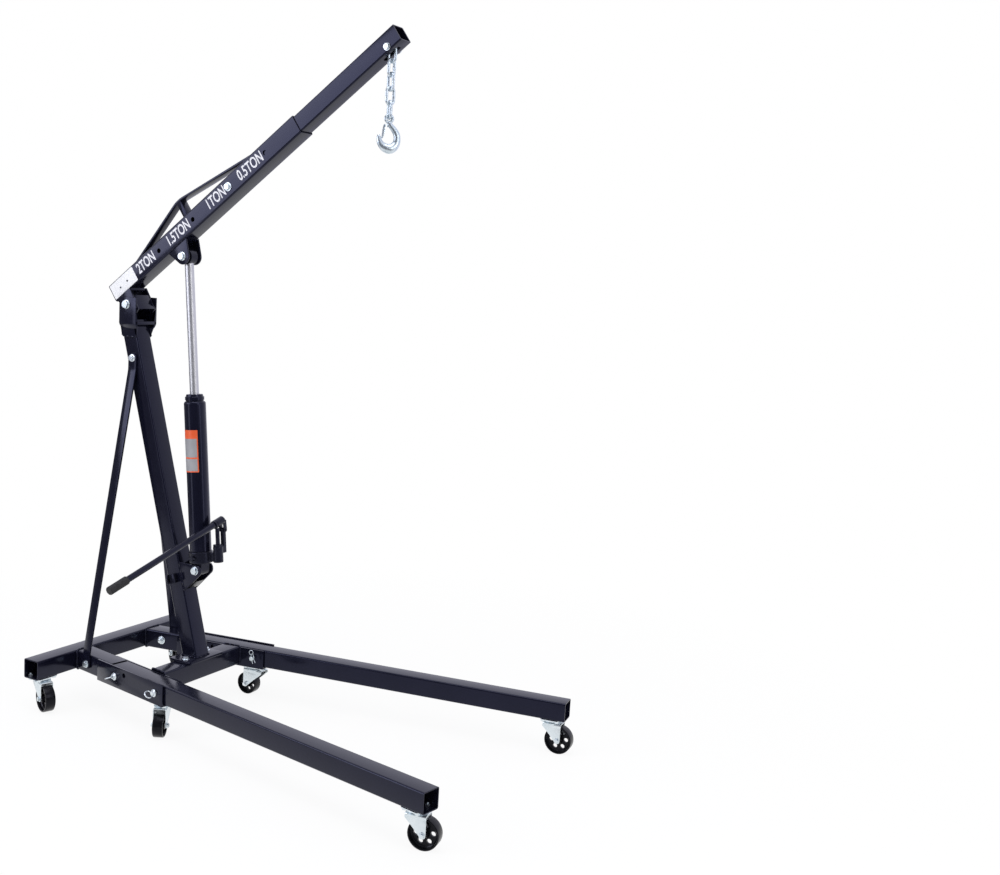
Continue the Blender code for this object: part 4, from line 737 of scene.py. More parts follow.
for name, side in SIDES.items():
    place = splay_place(side)
    shells = slab(channel_section, CHANNEL_START, CHANNEL_END, CHANNEL_EDGE, "yzx", (1, side, 1))
    channel = piece(f"{name}_leg_channel", shells, place, PAINT, "frame", [f"{name}_channel"])
    drilled(channel, bores(PIN_BORE, ((REAR_PIN, PIN_Z), (FRONT_PIN, PIN_Z), SPARE_BORE), 24), place)
    outer_seam = [(seam_x, side * seam_y, z) for z in (seam_low, outer_top - 0.002)]
    inner_seam = [(seam_x, -side * seam_y, z) for z in (seam_low, inner_top - 0.002)]
    floor_seam = [(seam_x, y, channel_low + 0.004) for y in (-inner, inner)]
    seams = [bead(line, (1, 0, 0), CHANNEL_SEAM) for line in (outer_seam, inner_seam, floor_seam)]
    piece(f"{name}_channel_seams", seams, place, PAINT, "frame")


# %% Cross tube under the mast
def channel_reach(x):
    """Half the clear width between the two channels at a distance along the hoist."""
    run = (x - half * math.sin(SPLAY)) / math.cos(SPLAY)
    return STUB_SPACING / 2 + run * math.sin(SPLAY) - half * math.cos(SPLAY) - GAP / math.cos(SPLAY)


CROSS_FRONT, CROSS_LIFT = 0.394, 0.001
cross_middle = CROSS_FRONT - BEAM / 2
reach = channel_reach(cross_middle)
slope = math.tan(SPLAY)
cross = [tube(BEAM, BEAM, BEAM_WALL, (-reach, -slope), (reach, slope))]
cross += [ring_seam(BEAM, BEAM, s * (reach - SEAM_OUT), (s * slope, 0)) for s in (-1, 1)]
cross = moved(laid(cross, "yxz"), (cross_middle, 0, DECK + CROSS_LIFT + BEAM / 2))
piece("mast_cross_tube", cross, HOIST, PAINT, "frame", ["cross_beam"])

# %% [markdown]
# ## Lock pins
# Each leg is held by two pins across the channel. A pin is turned: shank, disc head and drilled
# boss, with a wire ring through the boss and a spring clip on its tail. One profile carried round
# the pin's axis makes the turned part; the ring and clip are bars along planar lines. The rings and
# clips hang at angles of their own, as they do on the real pins.

# %% Lock pins
PIN, PIN_HEAD, PIN_TAIL, RING, RING_WIRE = 0.0078, 0.0125, 0.016, 0.0130, 0.0018
CLIP_WIRE, CLIP_IN, CLIP_LOOP, RING_HANG = 0.0013, 0.0095, 0.0075, 0.0090
RING_TURNS = {"rear": -24, "front": 38}
CLIP_TURNS = {"right_rear": 0, "left_rear": 0, "right_front": 64, "left_front": -104}
face = half + GAP
tail = face + PIN_TAIL
boss = [(0.0090, 0.0058), (0.0078, 0.0075), (0.0076, 0.0100), (0.0066, 0.0112)]
turned = [(PIN - 0.0016, -tail), (PIN, -tail + 0.0016), (PIN, face), (PIN_HEAD - 0.0008, face),
          (PIN_HEAD, face + 0.0008), (PIN_HEAD, face + 0.0044), (PIN_HEAD - 0.0012, face + 0.0054)]
turned += [(r, face + h) for r, h in boss]
shank = laid([revolved(turned, 40)], "xzy")
ring = moved(laid([hoop(RING, RING_WIRE, 12, 56)], "xzy"), (0, face + RING_HANG + RING, 0))
loop = arc((0.021, -0.002), CLIP_LOOP, 200, -130, 22)
wavy = [(0.004, -0.0092), (-0.004, -0.0076), (-0.013, -0.0100), (-0.018, -0.0118)]
clip_line = curved(np.concatenate([[(-0.019, 0.0), (0.012, 0.0)], loop, wavy]), 4)
clip = [wire(clip_line, CLIP_WIRE, 8, y=-face - CLIP_IN)]
for name, side in SIDES.items():
    for where, along in (("rear", REAR_PIN), ("front", FRONT_PIN)):
        label = f"{name}_{where}"
        shells = shank + moved(ring, turn=spin("Y", RING_TURNS[where]))
        shells += moved(clip, turn=spin("Y", CLIP_TURNS[label]))
        shells = moved(laid(shells, "xyz", (1, side, 1)), (along, 0, PIN_Z))
        zinc(f"{label}_lock_pin", shells, splay_place(side), "frame", [f"{label}_ring_pin"])

# %% [markdown]
# ## Mast
# A leaning square post stands on a plate that is bolted to the cross tube. Two joggled cheeks at
# its top carry the boom's pivot bolt, two ears in front carry the jack, and flat bars brace it to
# the stubs. The cheek's section is drawn once in y z and given its length along x.

# %% Post and foot plate
PLATE_REAR, PLATE_LONG, PLATE_WIDE, PLATE_THICK = 0.313, 0.096, 0.160, 0.009
MAST_EDGE, POST_SEAM = 0.0012, 0.0032
FOOT_BOLT, FOOT_BOLT_SPOTS = (0.016, 0.0075, 0.0120), ((0.368, -0.060), (0.353, 0.057))
outline = rounded(PLATE_LONG, PLATE_WIDE, 0.006) + [PLATE_REAR + PLATE_LONG / 2, 0]
foot = plate(outline, MAST_FOOT - PLATE_THICK, MAST_FOOT, MAST_EDGE)
piece("mast_foot_plate", [foot], HOIST, PAINT, "frame", ["mast_base_plate"])
lean = math.tan(MAST_LEAN)
post = tube(MAST_TUBE, MAST_TUBE, MAST_WALL, (GAP / math.cos(MAST_LEAN), 0, lean), MAST_LENGTH)
seam = ring_seam(MAST_TUBE, MAST_TUBE, SEAM_OUT, (0, lean), POST_SEAM)
piece("mast_tube", laid([post, seam], "zyx", (-1, 1, 1)), MAST, PAINT, "frame", ["mast_post"])
for k, spot in enumerate(FOOT_BOLT_SPOTS):
    zinc(f"foot_plate_bolt_{k + 1}", bolt_head(*FOOT_BOLT), facing(HOIST, (*spot, MAST_FOOT), (0, 0, 1)))


# %% Head cheeks and pivot bolt
def mast_face(z):
    """Where the mast's front face is at a height."""
    return MAST_FRONT - (z - MAST_FOOT) * lean + GAP


CHEEK, CHEEK_SPAN, STEP_DOWN, STEP_TALL, FLANGE, TIE_TALL = 0.006, 0.098, 0.091, 0.014, 0.026, 0.011
PIVOT_BOLT, PIVOT_SHANK, SHANK = (0.0235, 0.0085, 0.0155), 0.008, 0.0078
pivot = BOOM[0] - HOIST[0]
(rear_x, _, _), (front_x, _, head_top) = (np.array(c) - HOIST[0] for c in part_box("mast_head"))
step_high = head_top - STEP_DOWN
step_low = step_high - STEP_TALL
flange_low = step_low - FLANGE
out, seat = CHEEK_SPAN / 2, MAST_TUBE / 2 + GAP
inside = out - CHEEK
cheek = eased([(out, head_top), (out, step_high), (seat + CHEEK, step_low), (seat + CHEEK, flange_low),
               (seat, flange_low), (seat, step_low + CHEEK / 3), (inside, step_high + CHEEK / 3),
               (inside, head_top)], [0.001, 0.005, 0.005, 0.001, 0.001, 0.004, 0.004, 0.001])
cheeks = [slab(cheek, rear_x, front_x, MAST_EDGE, "yzx", (1, s, 1))[0] for s in (-1, 1)]
for points, quads, ends in cheeks:
    front = mast_face(points[:, 2]) - 0.001
    narrow = np.clip(points[:, 0], front - mast_deep + 0.002, front)
    points[:, 0] = np.where(points[:, 2] < step_low + 0.001, narrow, points[:, 0])
tie = slab(rounded(2 * out - CHEEK, TIE_TALL, 0.002), front_x - CHEEK, front_x, order="yzx")
tie = moved(tie, (0, 0, step_high + TIE_TALL / 2))
between, shoulder, high = 0.033, pivot[2] - 0.0205, pivot[2] - 0.013
right_half = [(inside, step_high), (inside, shoulder), (between, shoulder + 0.004), (between, high)]
back = right_half + [(-y, z) for y, z in reversed(right_half)]
back = slab(back, rear_x, rear_x + CHEEK, 0.0008, "yzx")
seam_z = flange_low - 0.001
seam_ends = mast_face(seam_z) - np.array([mast_deep - 0.005, 0.005])
seams = twin_seams([(x, seat + CHEEK * 0.6, seam_z) for x in seam_ends], (0, 0, 1))
piece("mast_head_bracket", cheeks + tie + back + seams, HOIST, PAINT, "frame", ["mast_head"])
zinc("mast_head_bolt", cross_rod(PIVOT_SHANK, out + 0.001, pivot), HOIST, "frame", ["boom_pivot_bolt"])
bolt_ends("mast_head_bolt_head", "mast_head_nut", HOIST, pivot, out + GAP, PIVOT_BOLT, SHANK)

# %% Braces
BRACE_WIDE, BRACE_THICK, BRACE_FLAT, BRACE_EDGE, BRACE_FOOT = 0.035, 0.007, 0.040, 0.0008, 0.063
BRACE_BOLT, BRACE_NUT = (0.017, 0.0075, 0.013), (0.019, 0.0085, 0.015)
BRACE_SHANK, BRACE_TAIL, LEAST_WIDE = 0.0058, 0.004, 0.0004
BRACE_STEPS, END_STEPS, END_START = 90, 9, 0.12
foot_low = np.array([BRACE_FOOT * math.cos(SPLAY), 0.149])
brace_top = np.array([pivot[0] + 0.021, pivot[2] - 0.180])


def brace_inner(x, z):
    """Distance of the brace's inner face from the middle plane: on the stub below, the mast above."""
    on_stub = STUB_SPACING / 2 + x * math.tan(SPLAY) + (STUB / 2 + GAP) / math.cos(SPLAY)
    rise = brace_top[1] - foot_low[1] - 2 * BRACE_FLAT
    share = np.clip((z - foot_low[1] - BRACE_FLAT) / rise, 0, 1)
    return on_stub + (MAST_TUBE / 2 + GAP - on_stub) * share


length = np.linalg.norm(brace_top - foot_low)
run = (brace_top - foot_low) / length
wide = BRACE_WIDE / 2
ends = wide * (1 - np.cos(np.linspace(END_START, np.pi / 2, END_STEPS)))
middle = np.linspace(0.004, length - 0.004, BRACE_STEPS)
stations = np.concatenate([-wide + ends, middle, length + wide - ends[::-1]])[:, None]
past = np.maximum(np.maximum(-stations, stations - length), 0)
width = np.sqrt(np.maximum(wide**2 - past**2, 1e-8))
loop = rounded(2.0, BRACE_THICK, BRACE_EDGE, 2)
offset = np.sign(loop[:, 0]) * (width - 1 + np.abs(loop[:, 0])).clip(LEAST_WIDE)
x = foot_low[0] + stations * run[0] - offset * run[1]
z = foot_low[1] + stations * run[1] + offset * run[0]
y = brace_inner(x, z) + BRACE_THICK / 2 + loop[:, 1]
for name, side in SIDES.items():
    brace = [shell(np.stack([x, side * y, z], -1))]
    piece(f"{name}_brace_bar", brace, HOIST, PAINT, "frame", [f"{name}_brace"])
    outwards = ((-math.sin(SPLAY), side * math.cos(SPLAY), 0), (0, side, 0))
    for k, ((bx, bz), direction) in enumerate(zip((foot_low, brace_top), outwards)):
        spot = facing(HOIST, (bx, side * (brace_inner(bx, bz) + BRACE_THICK), bz), direction)
        zinc(f"{name}_brace_bolt_{k + 1}", bolt_head(*BRACE_BOLT), spot)
    spot = facing(splay_place(side), (BRACE_FOOT, -side * STUB / 2, foot_low[1]), (0, -side, 0))
    zinc(f"{name}_brace_nut", nut_end(*BRACE_NUT, BRACE_SHANK, BRACE_TAIL), spot)

# %% Handle clip on the post
CLIP_UP, CLIP_TALL, CLIP_SHEET = 0.271, 0.030, 0.0018
jaw = np.array([(0.0, 0.001), (0.007, 0.001), (0.0115, 0.006), (0.0125, 0.013), (0.0090, 0.021),
                (0.0060, 0.0245), (0.0085, 0.0300)])
clip_line = curved(np.concatenate([jaw[:0:-1] * [-1, 1], jaw]), 5)
clip = laid([strip(clip_line, CLIP_TALL, CLIP_SHEET, 0.0004)], "xzy", (1, -1, 1))
piece("handle_clip", moved(clip, (0, -MAST_TUBE / 2, CLIP_UP)), MAST, CAST_PAINT, "frame")

# %% Ears for the jack's foot
EAR, EAR_TOP, EAR_LOW, NOSE, EAR_SEAM = 0.006, 0.510, 0.414, 0.024, 0.0028
RAM_BOLT, RAM_SHANK = (0.022, 0.008, 0.0145), 0.008
WEB_FROM, WEB_TO, WEB_IN = 0.12, 0.52, 0.003
foot_pin = JACK[0] - HOIST[0]
ear_half = MAST_TUBE / 2
ear = np.concatenate([[(mast_face(EAR_LOW), EAR_LOW)], arc(foot_pin[[0, 2]], NOSE, -30, 49, 14),
                      [(mast_face(EAR_TOP), EAR_TOP)]])
ears = twin(ear, ear_half, ear_half - EAR)
rise = ear[1] - ear[0]
start, end = ear[0] + rise * WEB_FROM, ear[0] + rise * WEB_TO
into = np.array([-rise[1], rise[0]]) / np.linalg.norm(rise) * EAR
web = slab([start, end, end + into, start + into], WEB_IN - ear_half, ear_half - WEB_IN, WEB_EDGE)
seam_ends = [(mast_face(z) + 0.0015, ear_half - 0.001, z) for z in (EAR_LOW + 0.003, EAR_TOP - 0.003)]
seams = twin_seams(seam_ends, (0, 1, 0), EAR_SEAM)
piece("ram_foot_bracket", ears + seams, HOIST, PAINT, "frame", ["ram_mast_bracket"])
piece("ram_foot_web", web, HOIST, IRON, "frame")
zinc("ram_foot_bolt", cross_rod(RAM_SHANK, ear_half + 0.001, foot_pin), HOIST, "frame", ["ram_foot_pin"])
bolt_ends("ram_foot_bolt_head", "ram_foot_nut", HOIST, foot_pin, ear_half + GAP, RAM_BOLT, SHANK)

# %% [markdown]
# ## Boom
# The outer tube has a row of lock holes and, on top, a strap bent over a post that stiffens it. Under
# it are the heel bracket on the pivot and two ears for the jack's rod. The holes are drilled by
# Boolean cutters and the result is kept as the mesh; drawing them as dark discs would fail from
# other sides.

# %% Outer tube
BOOM_TUBE, BOOM_WALL, BOOM_REAR, BOOM_FRONT, BOOM_LIFT = 0.063, 0.003, -0.050, 0.898, 0.043
BOOM_MID, BOOM_TOP, boom_half = BOOM_LIFT + BOOM_TUBE / 2, BOOM_LIFT + BOOM_TUBE, BOOM_TUBE / 2
HOLES, HOLE = 0.2105 + 0.180 * np.arange(4), 0.008
LOCK = HOLES[2]
shells = moved([tube(BOOM_TUBE, BOOM_TUBE, BOOM_WALL, BOOM_REAR, BOOM_FRONT)], (0, 0, BOOM_MID))
outer_tube = piece("boom_outer_tube", shells, BOOM, PAINT, "boom", ["boom_tube"])
drilled(outer_tube, bores(HOLE, [(x, BOOM_MID) for x in HOLES]), BOOM)

# %% Truss strap
STRAP_HALF, STRAP, REAR, APEX, FRONT, RISE = 0.016, 0.007, 0.064, 0.360, 0.728, 0.066
FLAT, POST, TUCK, STRAP_BEND, STRAP_SEAM = 0.013, 0.010, 0.012, 0.010, 0.0028
foot, crown = BOOM_TOP + GAP, BOOM_TOP + RISE
ridge = crown - STRAP / 2
rear_slope, front_slope = RISE / (APEX - FLAT - REAR), RISE / (FRONT - APEX - FLAT)
rear_toe, front_toe = (STRAP * math.hypot(1, slope) / slope for slope in (rear_slope, front_slope))
corners = [(REAR + rear_toe / 2 - TUCK, foot - TUCK * rear_slope), (APEX - FLAT + 0.0005, ridge),
           (APEX + FLAT - 0.0005, ridge), (FRONT - front_toe / 2 + TUCK, foot - TUCK * front_slope)]
strap_line = paced(eased(corners, [0, STRAP_BEND, STRAP_BEND, 0], 8), 0.0035)
points, quads, ends = strip(strap_line, 2 * STRAP_HALF, STRAP, PLATE_EDGE)
points[:, 2] = np.maximum(points[:, 2], foot)
post = [(APEX - POST, foot), (APEX + POST, foot), (APEX + POST, ridge), (APEX - POST, ridge)]
post = slab(eased(post, PLATE_EDGE), 0.0004 - STRAP_HALF, STRAP_HALF - 0.0004)
seams = [bead([(x, y, BOOM_TOP + 0.0012) for y in (-STRAP_HALF, STRAP_HALF)], (1, 0, 0), STRAP_SEAM)
         for x in (REAR - 0.001, FRONT + 0.001, APEX - POST - 0.0008, APEX + POST + 0.0008)]
piece("boom_truss_strap", [(points, quads, ends), *post, *seams], BOOM, PAINT, "boom", ["boom_truss"])

# %% Heel bracket on the pivot
HINGE_HALF, HINGE, HEEL, TOE, EYE, PIVOT_SHADE_BAR = 0.041, 0.006, -0.034, 0.036, 0.026, 0.0125
CHIN, TIP, BROW = (0.014, -0.043), np.array([0.030, -0.037]), np.array([0.033, 0.016])
top_line = BOOM_LIFT - GAP
span = HINGE_HALF - 0.002
side_plate = np.concatenate([[(HEEL, top_line)], arc((0, 0), EYE, 200, 262, 10), [CHIN, TIP],
                             [(TOE, top_line)]])
heel = twin(side_plate, HINGE_HALF, HINGE_HALF - HINGE)
heel += slab([(HEEL, top_line - HINGE), (TOE - 0.004, top_line - HINGE), (TOE, top_line), (HEEL, top_line)],
             -span, span, WEB_EDGE)
inwards = np.array([-HINGE, 0])
heel += slab([TIP, BROW, BROW + inwards, TIP + inwards], -span, span, WEB_EDGE)
heel += twin_seams([(x, boom_half + 0.001, top_line + 0.001) for x in (HEEL + 0.004, TOE - 0.006)],
                   (0, 0, 1))
# A black bar round the pivot bolt between the heel plates: painted shade for the dark inside of the mast
# head, where it also hides the bolt's bright shank.
heel += cross_rod(PIVOT_SHADE_BAR, span, edge=0.0005)
piece("boom_heel_bracket", heel, BOOM, PAINT, "boom", ["boom_hinge_bracket"])

# %% Ears for the rod, and the boom's bolts
RAM_X, RAM_Z, EAR_REAR, EAR_FRONT, EAR_NOSE, EAR_WEB = 0.2858, 0.002, 0.240, 0.332, 0.027, 0.0035
LOCK_BOLT, LOCK_SHANK, ROD_EAR_SEAM = (0.019, 0.0075, 0.0145), 0.0068, 0.0026
head_pin = (RAM_X, 0, RAM_Z)
ear = np.concatenate([[(EAR_REAR, top_line)], arc((RAM_X, RAM_Z), EAR_NOSE, 205, 335, 16),
                      [(EAR_FRONT, top_line)]])
ears = twin(ear, boom_half, boom_half - EAR)
web_low = top_line - EAR_WEB
ears += slab([(EAR_REAR, web_low), (EAR_FRONT, web_low), (EAR_FRONT, top_line), (EAR_REAR, top_line)],
             WEB_IN - boom_half, boom_half - WEB_IN, WEB_EDGE)
ears += twin_seams([(x, boom_half - 0.0005, top_line) for x in (EAR_REAR + 0.003, EAR_FRONT - 0.003)],
                   (0, 0, 1), ROD_EAR_SEAM)
piece("ram_head_bracket", ears, BOOM, PAINT, "boom", ["boom_ram_bracket"])
zinc("ram_head_bolt", cross_rod(RAM_SHANK, boom_half + 0.001, head_pin), BOOM, "boom", ["ram_head_pin"])
bolt_ends("ram_head_bolt_head", "ram_head_nut", BOOM, head_pin, boom_half + GAP, RAM_BOLT, SHANK, "boom")
bolt_ends("boom_lock_bolt", "boom_lock_nut", BOOM, (LOCK, 0, BOOM_MID), boom_half, LOCK_BOLT, LOCK_SHANK,
          "boom")

# %% Inner tube and chain bolt
INNER, INNER_WALL, TIP_X, CHAIN_SLOT = 0.055, 0.004, 1.3346, (0.063, 0.017, 0.005)
HANGER_BOLT, HANGER_SHANK, HANGER_THREAD = (0.017, 0.0068, 0.0115), 0.0055, 0.0052
inner_half = INNER / 2
hanger = np.array([TIP_X - 0.049, 0, BOOM_MID - inner_half + 0.0125])
shells = moved([tube(INNER, INNER, INNER_WALL, LOCK - 0.050, TIP_X, 0.005)], (0, 0, BOOM_MID))
inner_tube = piece("boom_inner_tube", shells, BOOM, PAINT, "extension", ["boom_extension"])
slot_outline = rounded(*CHAIN_SLOT) + [hanger[0] - 0.0095, 0]
drilled(inner_tube, [plate(slot_outline, BOOM_LIFT - 0.01, BOOM_MID, CUTTER_EDGE)], BOOM)
shank = cross_rod(HANGER_SHANK, inner_half + 0.001, hanger, steps=28)
zinc("chain_hanger_bolt", shank, BOOM, "extension", ["chain_bolt"])
bolt_ends("chain_hanger_head", "chain_hanger_nut", BOOM, hanger, inner_half + GAP, HANGER_BOLT,
          HANGER_THREAD, "extension")

# %% [markdown]
# ## Marks on the boom
# Four marks on the near face say how much the boom lifts at each lock hole, and a blank white
# sticker with two rivets covers its rear end. The marks are text turned into a mesh and laid on the
# face; a texture would need an image.

# %% Marks
MARK_SIZE, MARK_WIDE, MARK_BOLD, MARK_THICK = 0.050, 0.68, 0.0009, 0.0001
MARKS = {"2TON": 0.140, "1.5TON": 0.314, "1TON": 0.509, "0.5TON": 0.680}


def mark(name, words, x):
    """Text as a thin mesh on the boom's near face: its x runs along the boom, its y up the face."""
    curve = bpy.data.curves.new(name, "FONT")
    curve.body = words
    curve.size = MARK_SIZE
    curve.offset = MARK_BOLD
    curve.align_x = "CENTER"
    curve.align_y = "CENTER"
    curve.extrude = MARK_THICK
    holder = bpy.data.objects.new("type", curve)
    scene.collection.objects.link(holder)
    mesh = settled(holder)
    bpy.data.objects.remove(holder)
    points = np.empty(len(mesh.vertices) * 3)
    mesh.vertices.foreach_get("co", points)
    a, b, h = points.reshape(-1, 3).T
    local = np.stack([x + a * MARK_WIDE, -boom_half - MARK_THICK - h, BOOM_MID + b], 1)
    origin, axes = BOOM
    mesh.vertices.foreach_set("co", (local @ axes + origin).ravel())
    mesh.name = name
    mesh.materials.clear()
    mesh.materials.append(PRINT)
    thing = bpy.data.objects.new(name, mesh)
    scene.collection.objects.link(thing)
    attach(thing, "boom")
    print(name, words, len(mesh.polygons), "faces")


for k, (words, x) in enumerate(MARKS.items()):
    mark(f"reach_mark_{k + 1}", words, x)

# %% Sticker and rivets
STICKER, STICKER_X, RIVETS = (0.124, 0.053, 0.003), 0.0155, ((-0.004, -0.004), (0.034, -0.002))
STICKER_OUT = boom_half + 0.0003
sticker = plate(rounded(*STICKER) + [STICKER_X, BOOM_MID], -STICKER_OUT, 0.0002 - boom_half, 0.0001, 2)
piece("blank_sticker", laid([sticker], "xzy"), BOOM, LABEL, "boom")
dome = revolved([(0.0034, 0), (0.0033, 0.0006), (0.0027, 0.0012), (0.0016, 0.0017), (0.0006, 0.0019)], 20)
# The rivet domes are black: painted shade for the dark holes in their middles.
for k, (x, z) in enumerate(RIVETS):
    spot = facing(BOOM, (x, -STICKER_OUT, BOOM_MID + z), (0, -1, 0))
    piece(f"sticker_rivet_{k + 1}", [dome], spot, CAST_PAINT, "boom")

# %% [markdown]
# ## Jack
# The long ram: a cast foot with its pump, a painted cylinder with a gland, and a bright rod. Turned
# parts are profiles carried round the ram's axis. The foot is several overlapping shells melted
# into one skin and smoothed, which gives the soft joins of a casting; separate blocks would show
# hard lines.

# %% Cylinder and rod
CYLINDER, GROOVE, SHOULDER, GLAND, GLAND_TOP = 0.036, 0.5700, 0.010, 0.0315, 0.593
BASE_TOP, WALL_IN, SEAL, SEAL_DEEP = 0.064, 0.026, 0.0152, 0.02
ROD, PISTON, PISTON_LOW, PISTON_TOP = 0.0148, 0.0256, 0.456, 0.486
EYE_IN, EYE_OUT, EYE_HALF, EYE_EDGE = 0.0192, 0.0192 + 0.0065, 0.015, 0.001
shoulder = arc((CYLINDER - SHOULDER, GROOVE - 0.9 * SHOULDER), SHOULDER, 0, 62, 8)
gland = [(-0.0020, GROOVE), (-0.0020, GROOVE + 0.003), (0, GROOVE + 0.0040), (0, GLAND_TOP - 0.0090),
         (-0.0012, GLAND_TOP - 0.0075), (-0.0030, GLAND_TOP - 0.0070), (-0.0040, GLAND_TOP - 0.0015),
         (-0.0055, GLAND_TOP)]
profile = [(WALL_IN, BASE_TOP + GAP), (CYLINDER - 0.001, BASE_TOP + GAP), (CYLINDER, BASE_TOP + 0.0015),
           *shoulder, *((GLAND + r, h) for r, h in gland),
           (0.0185, GLAND_TOP), (0.0178, GLAND_TOP - 0.0012),
           (SEAL, GLAND_TOP - 0.0012), (SEAL, GROOVE - SEAL_DEEP), (WALL_IN, GROOVE - SEAL_DEEP)]
piece("jack_cylinder", [revolved(profile, 72, True)], JACK, PAINT, "ram", ["ram_cylinder"])
rod_eye_z = np.linalg.norm(BOOM[0] + np.array(head_pin) @ BOOM[1] - JACK[0])
rod = [(PISTON, PISTON_LOW), (PISTON, PISTON_TOP), (ROD, PISTON_TOP), (ROD, rod_eye_z - 0.034),
       (ROD * 0.98, rod_eye_z - 0.020)]
piece("jack_rod", [revolved(rod, 56)], JACK, CHROME, "rod", ["ram_rod"])
# The eye is drawn in black cast paint, not chrome: painted shade for where it sits behind the boom's ears.
eye = [(EYE_IN, -EYE_HALF), (EYE_OUT - EYE_EDGE, -EYE_HALF), (EYE_OUT, -EYE_HALF + EYE_EDGE),
       (EYE_OUT, EYE_HALF - EYE_EDGE), (EYE_OUT - EYE_EDGE, EYE_HALF), (EYE_IN, EYE_HALF)]
eye = moved(laid([revolved(eye, 56, True)], "xzy"), (0, 0, rod_eye_z))
piece("jack_rod_eye", eye, JACK, CAST_PAINT, "rod")

# %% Foot casting
LUG_HALF, LUG, LUG_TALL, BASE, BASE_LOW = 0.022, 0.018, 0.038, 0.040, 0.024
PUMP_X, PUMP_Y, BARREL, BARREL_TOP = 0.066, 0.012, 0.0165, 0.080
FULCRUM_Y, FULCRUM_Z, FULCRUM, FULCRUM_LOW = 0.040, 0.134, 0.007, 0.0553
LUG_EDGE, BASE_EDGE, BARREL_EDGE, MELT_CELL, MELT_ROUNDS = 0.002, 0.003, 0.0015, 0.0011, 6
lug = np.concatenate([arc((0, 0), LUG, 180, 360, 20), [(LUG, LUG_TALL), (-LUG, LUG_TALL)]])
root = PUMP_Y + BARREL * 0.5
fulcrum = np.concatenate([[(root, FULCRUM_LOW), (FULCRUM_Y + FULCRUM, FULCRUM_LOW)],
                          arc((FULCRUM_Y, FULCRUM_Z), FULCRUM, 0, 180, 12),
                          [(FULCRUM_Y - FULCRUM, BARREL_TOP), (root, BARREL_TOP)]])
arm = rounded(PUMP_X, BARREL * 1.8, 0.004) + [PUMP_X / 2, PUMP_Y]
barrel = disc(BARREL, BASE_LOW + 0.003, BARREL_TOP, BARREL_EDGE, 40)
shells = slab(lug, -LUG_HALF, LUG_HALF, LUG_EDGE) + [disc(BASE, BASE_LOW, BASE_TOP, BASE_EDGE, 56)]
shells += moved([barrel], (PUMP_X, PUMP_Y, 0))
shells += [plate(arm, BASE_LOW + 0.006, BASE_TOP - 0.003, BASE_EDGE)]
shells += moved(slab(fulcrum, -FULCRUM, FULCRUM, BARREL_EDGE, "yzx"), (PUMP_X, 0, 0))
foot = piece("jack_foot_casting", shells, JACK, CAST_PAINT, "ram", ["ram_base"])
fused(foot, MELT_CELL, MELT_ROUNDS)

# %% Gland nut, fulcrum pin, plug and valve
GLAND_NUT, AXLE, AXLE_HALF = (0.028, BARREL_TOP - 0.001, 0.009), 0.004, 0.0145
PLUG, PLUG_Z, VALVE_Z = (0.011, 0.0035, 0.0075), 0.520, (BASE_LOW + BASE_TOP) / 2
TEE_Y, TEE_WIRE = -0.0054, [0.0022, 0.0027, 0.0027, 0.0022]
nut = moved([hexagon(*GLAND_NUT)], (PUMP_X, PUMP_Y, 0))
piece("pump_gland_nut", nut, JACK, CAST_PAINT, "ram")
axle = moved(laid([disc(AXLE, -AXLE_HALF, AXLE_HALF, 0.0005, 24)], "yzx"), (PUMP_X, FULCRUM_Y, FULCRUM_Z))
piece("fulcrum_pin", axle, JACK, CAST_PAINT, "ram")
plug = facing(JACK, (0, CYLINDER - 0.0004, PLUG_Z), (0, 1, 0))
piece("filler_plug", bolt_head(*PLUG), plug, CAST_PAINT, "ram")
stem = [(0.0048, -0.011), (0.0048, 0.0003), (0.0078, 0.0006), (0.0088, 0.0016), (0.0088, 0.0078),
        (0.0078, 0.0090)]
stem = laid([revolved(stem, 32)], "xzy", (1, -1, 1))
tee = [bar([(x, TEE_Y, 0) for x in (-0.0153, -0.0120, 0.0120, 0.0153)], TEE_WIRE, (0, 0, 1), 14)]
valve = moved(stem + tee, (0, -BASE - GAP, VALVE_Z))
piece("valve_stem", valve, JACK, CAST_PAINT, "valve", ["release_valve"])

# %% Pump piston, lever and handle
SLOPE = math.radians(15.4)
PLUNGER, PLUNGER_LOW, LEVER_EYE, LEVER_THICK = 0.007, 0.046, 0.008, 0.004
SOCKET, SOCKET_LONG, SOCKET_Z, SOCKET_EDGE, COLLAR = 0.0142, 0.046, 0.160, 0.001, 0.0012
HANDLE, REACH, GRIP, GRIP_LONG, GRIP_RINGS, GRIP_DEEP = 0.0102, 0.500, 0.0136, 0.072, 61, 0.0007
under = SOCKET_Z - SOCKET / math.cos(SLOPE) - PLUNGER * math.tan(SLOPE)
piston = moved([disc(PLUNGER, PLUNGER_LOW, under - GAP, 0.0006, 32)], (PUMP_X, PUMP_Y, 0))
piece("pump_piston", piston, JACK, CAST_PAINT, "plunger", ["pump_plunger"])
middle = np.array([0, PUMP_Y - FULCRUM_Y, SOCKET_Z - FULCRUM_Z])
along = np.array([0, -math.cos(SLOPE), -math.sin(SLOPE)])
origin, axes = LEVER
handle_place = stand(origin + middle @ axes, axes[0], along @ axes)
tail, mouth = -SOCKET_LONG * 0.62, SOCKET_LONG * 0.38
_, tail_y, tail_z = middle + along * tail
cheek = np.concatenate([[(-LEVER_EYE, middle[2] * 0.6)], arc((0, 0), LEVER_EYE, 180, 360, 14),
                        [(tail_y + SOCKET * 0.4, tail_z), (-LEVER_EYE, middle[2])]])
cheeks = twin(cheek, FULCRUM + GAP, FULCRUM + GAP + LEVER_THICK, order="yzx")
piece("pump_lever_casting", cheeks, LEVER, CAST_PAINT, "lever", ["pump_lever"])
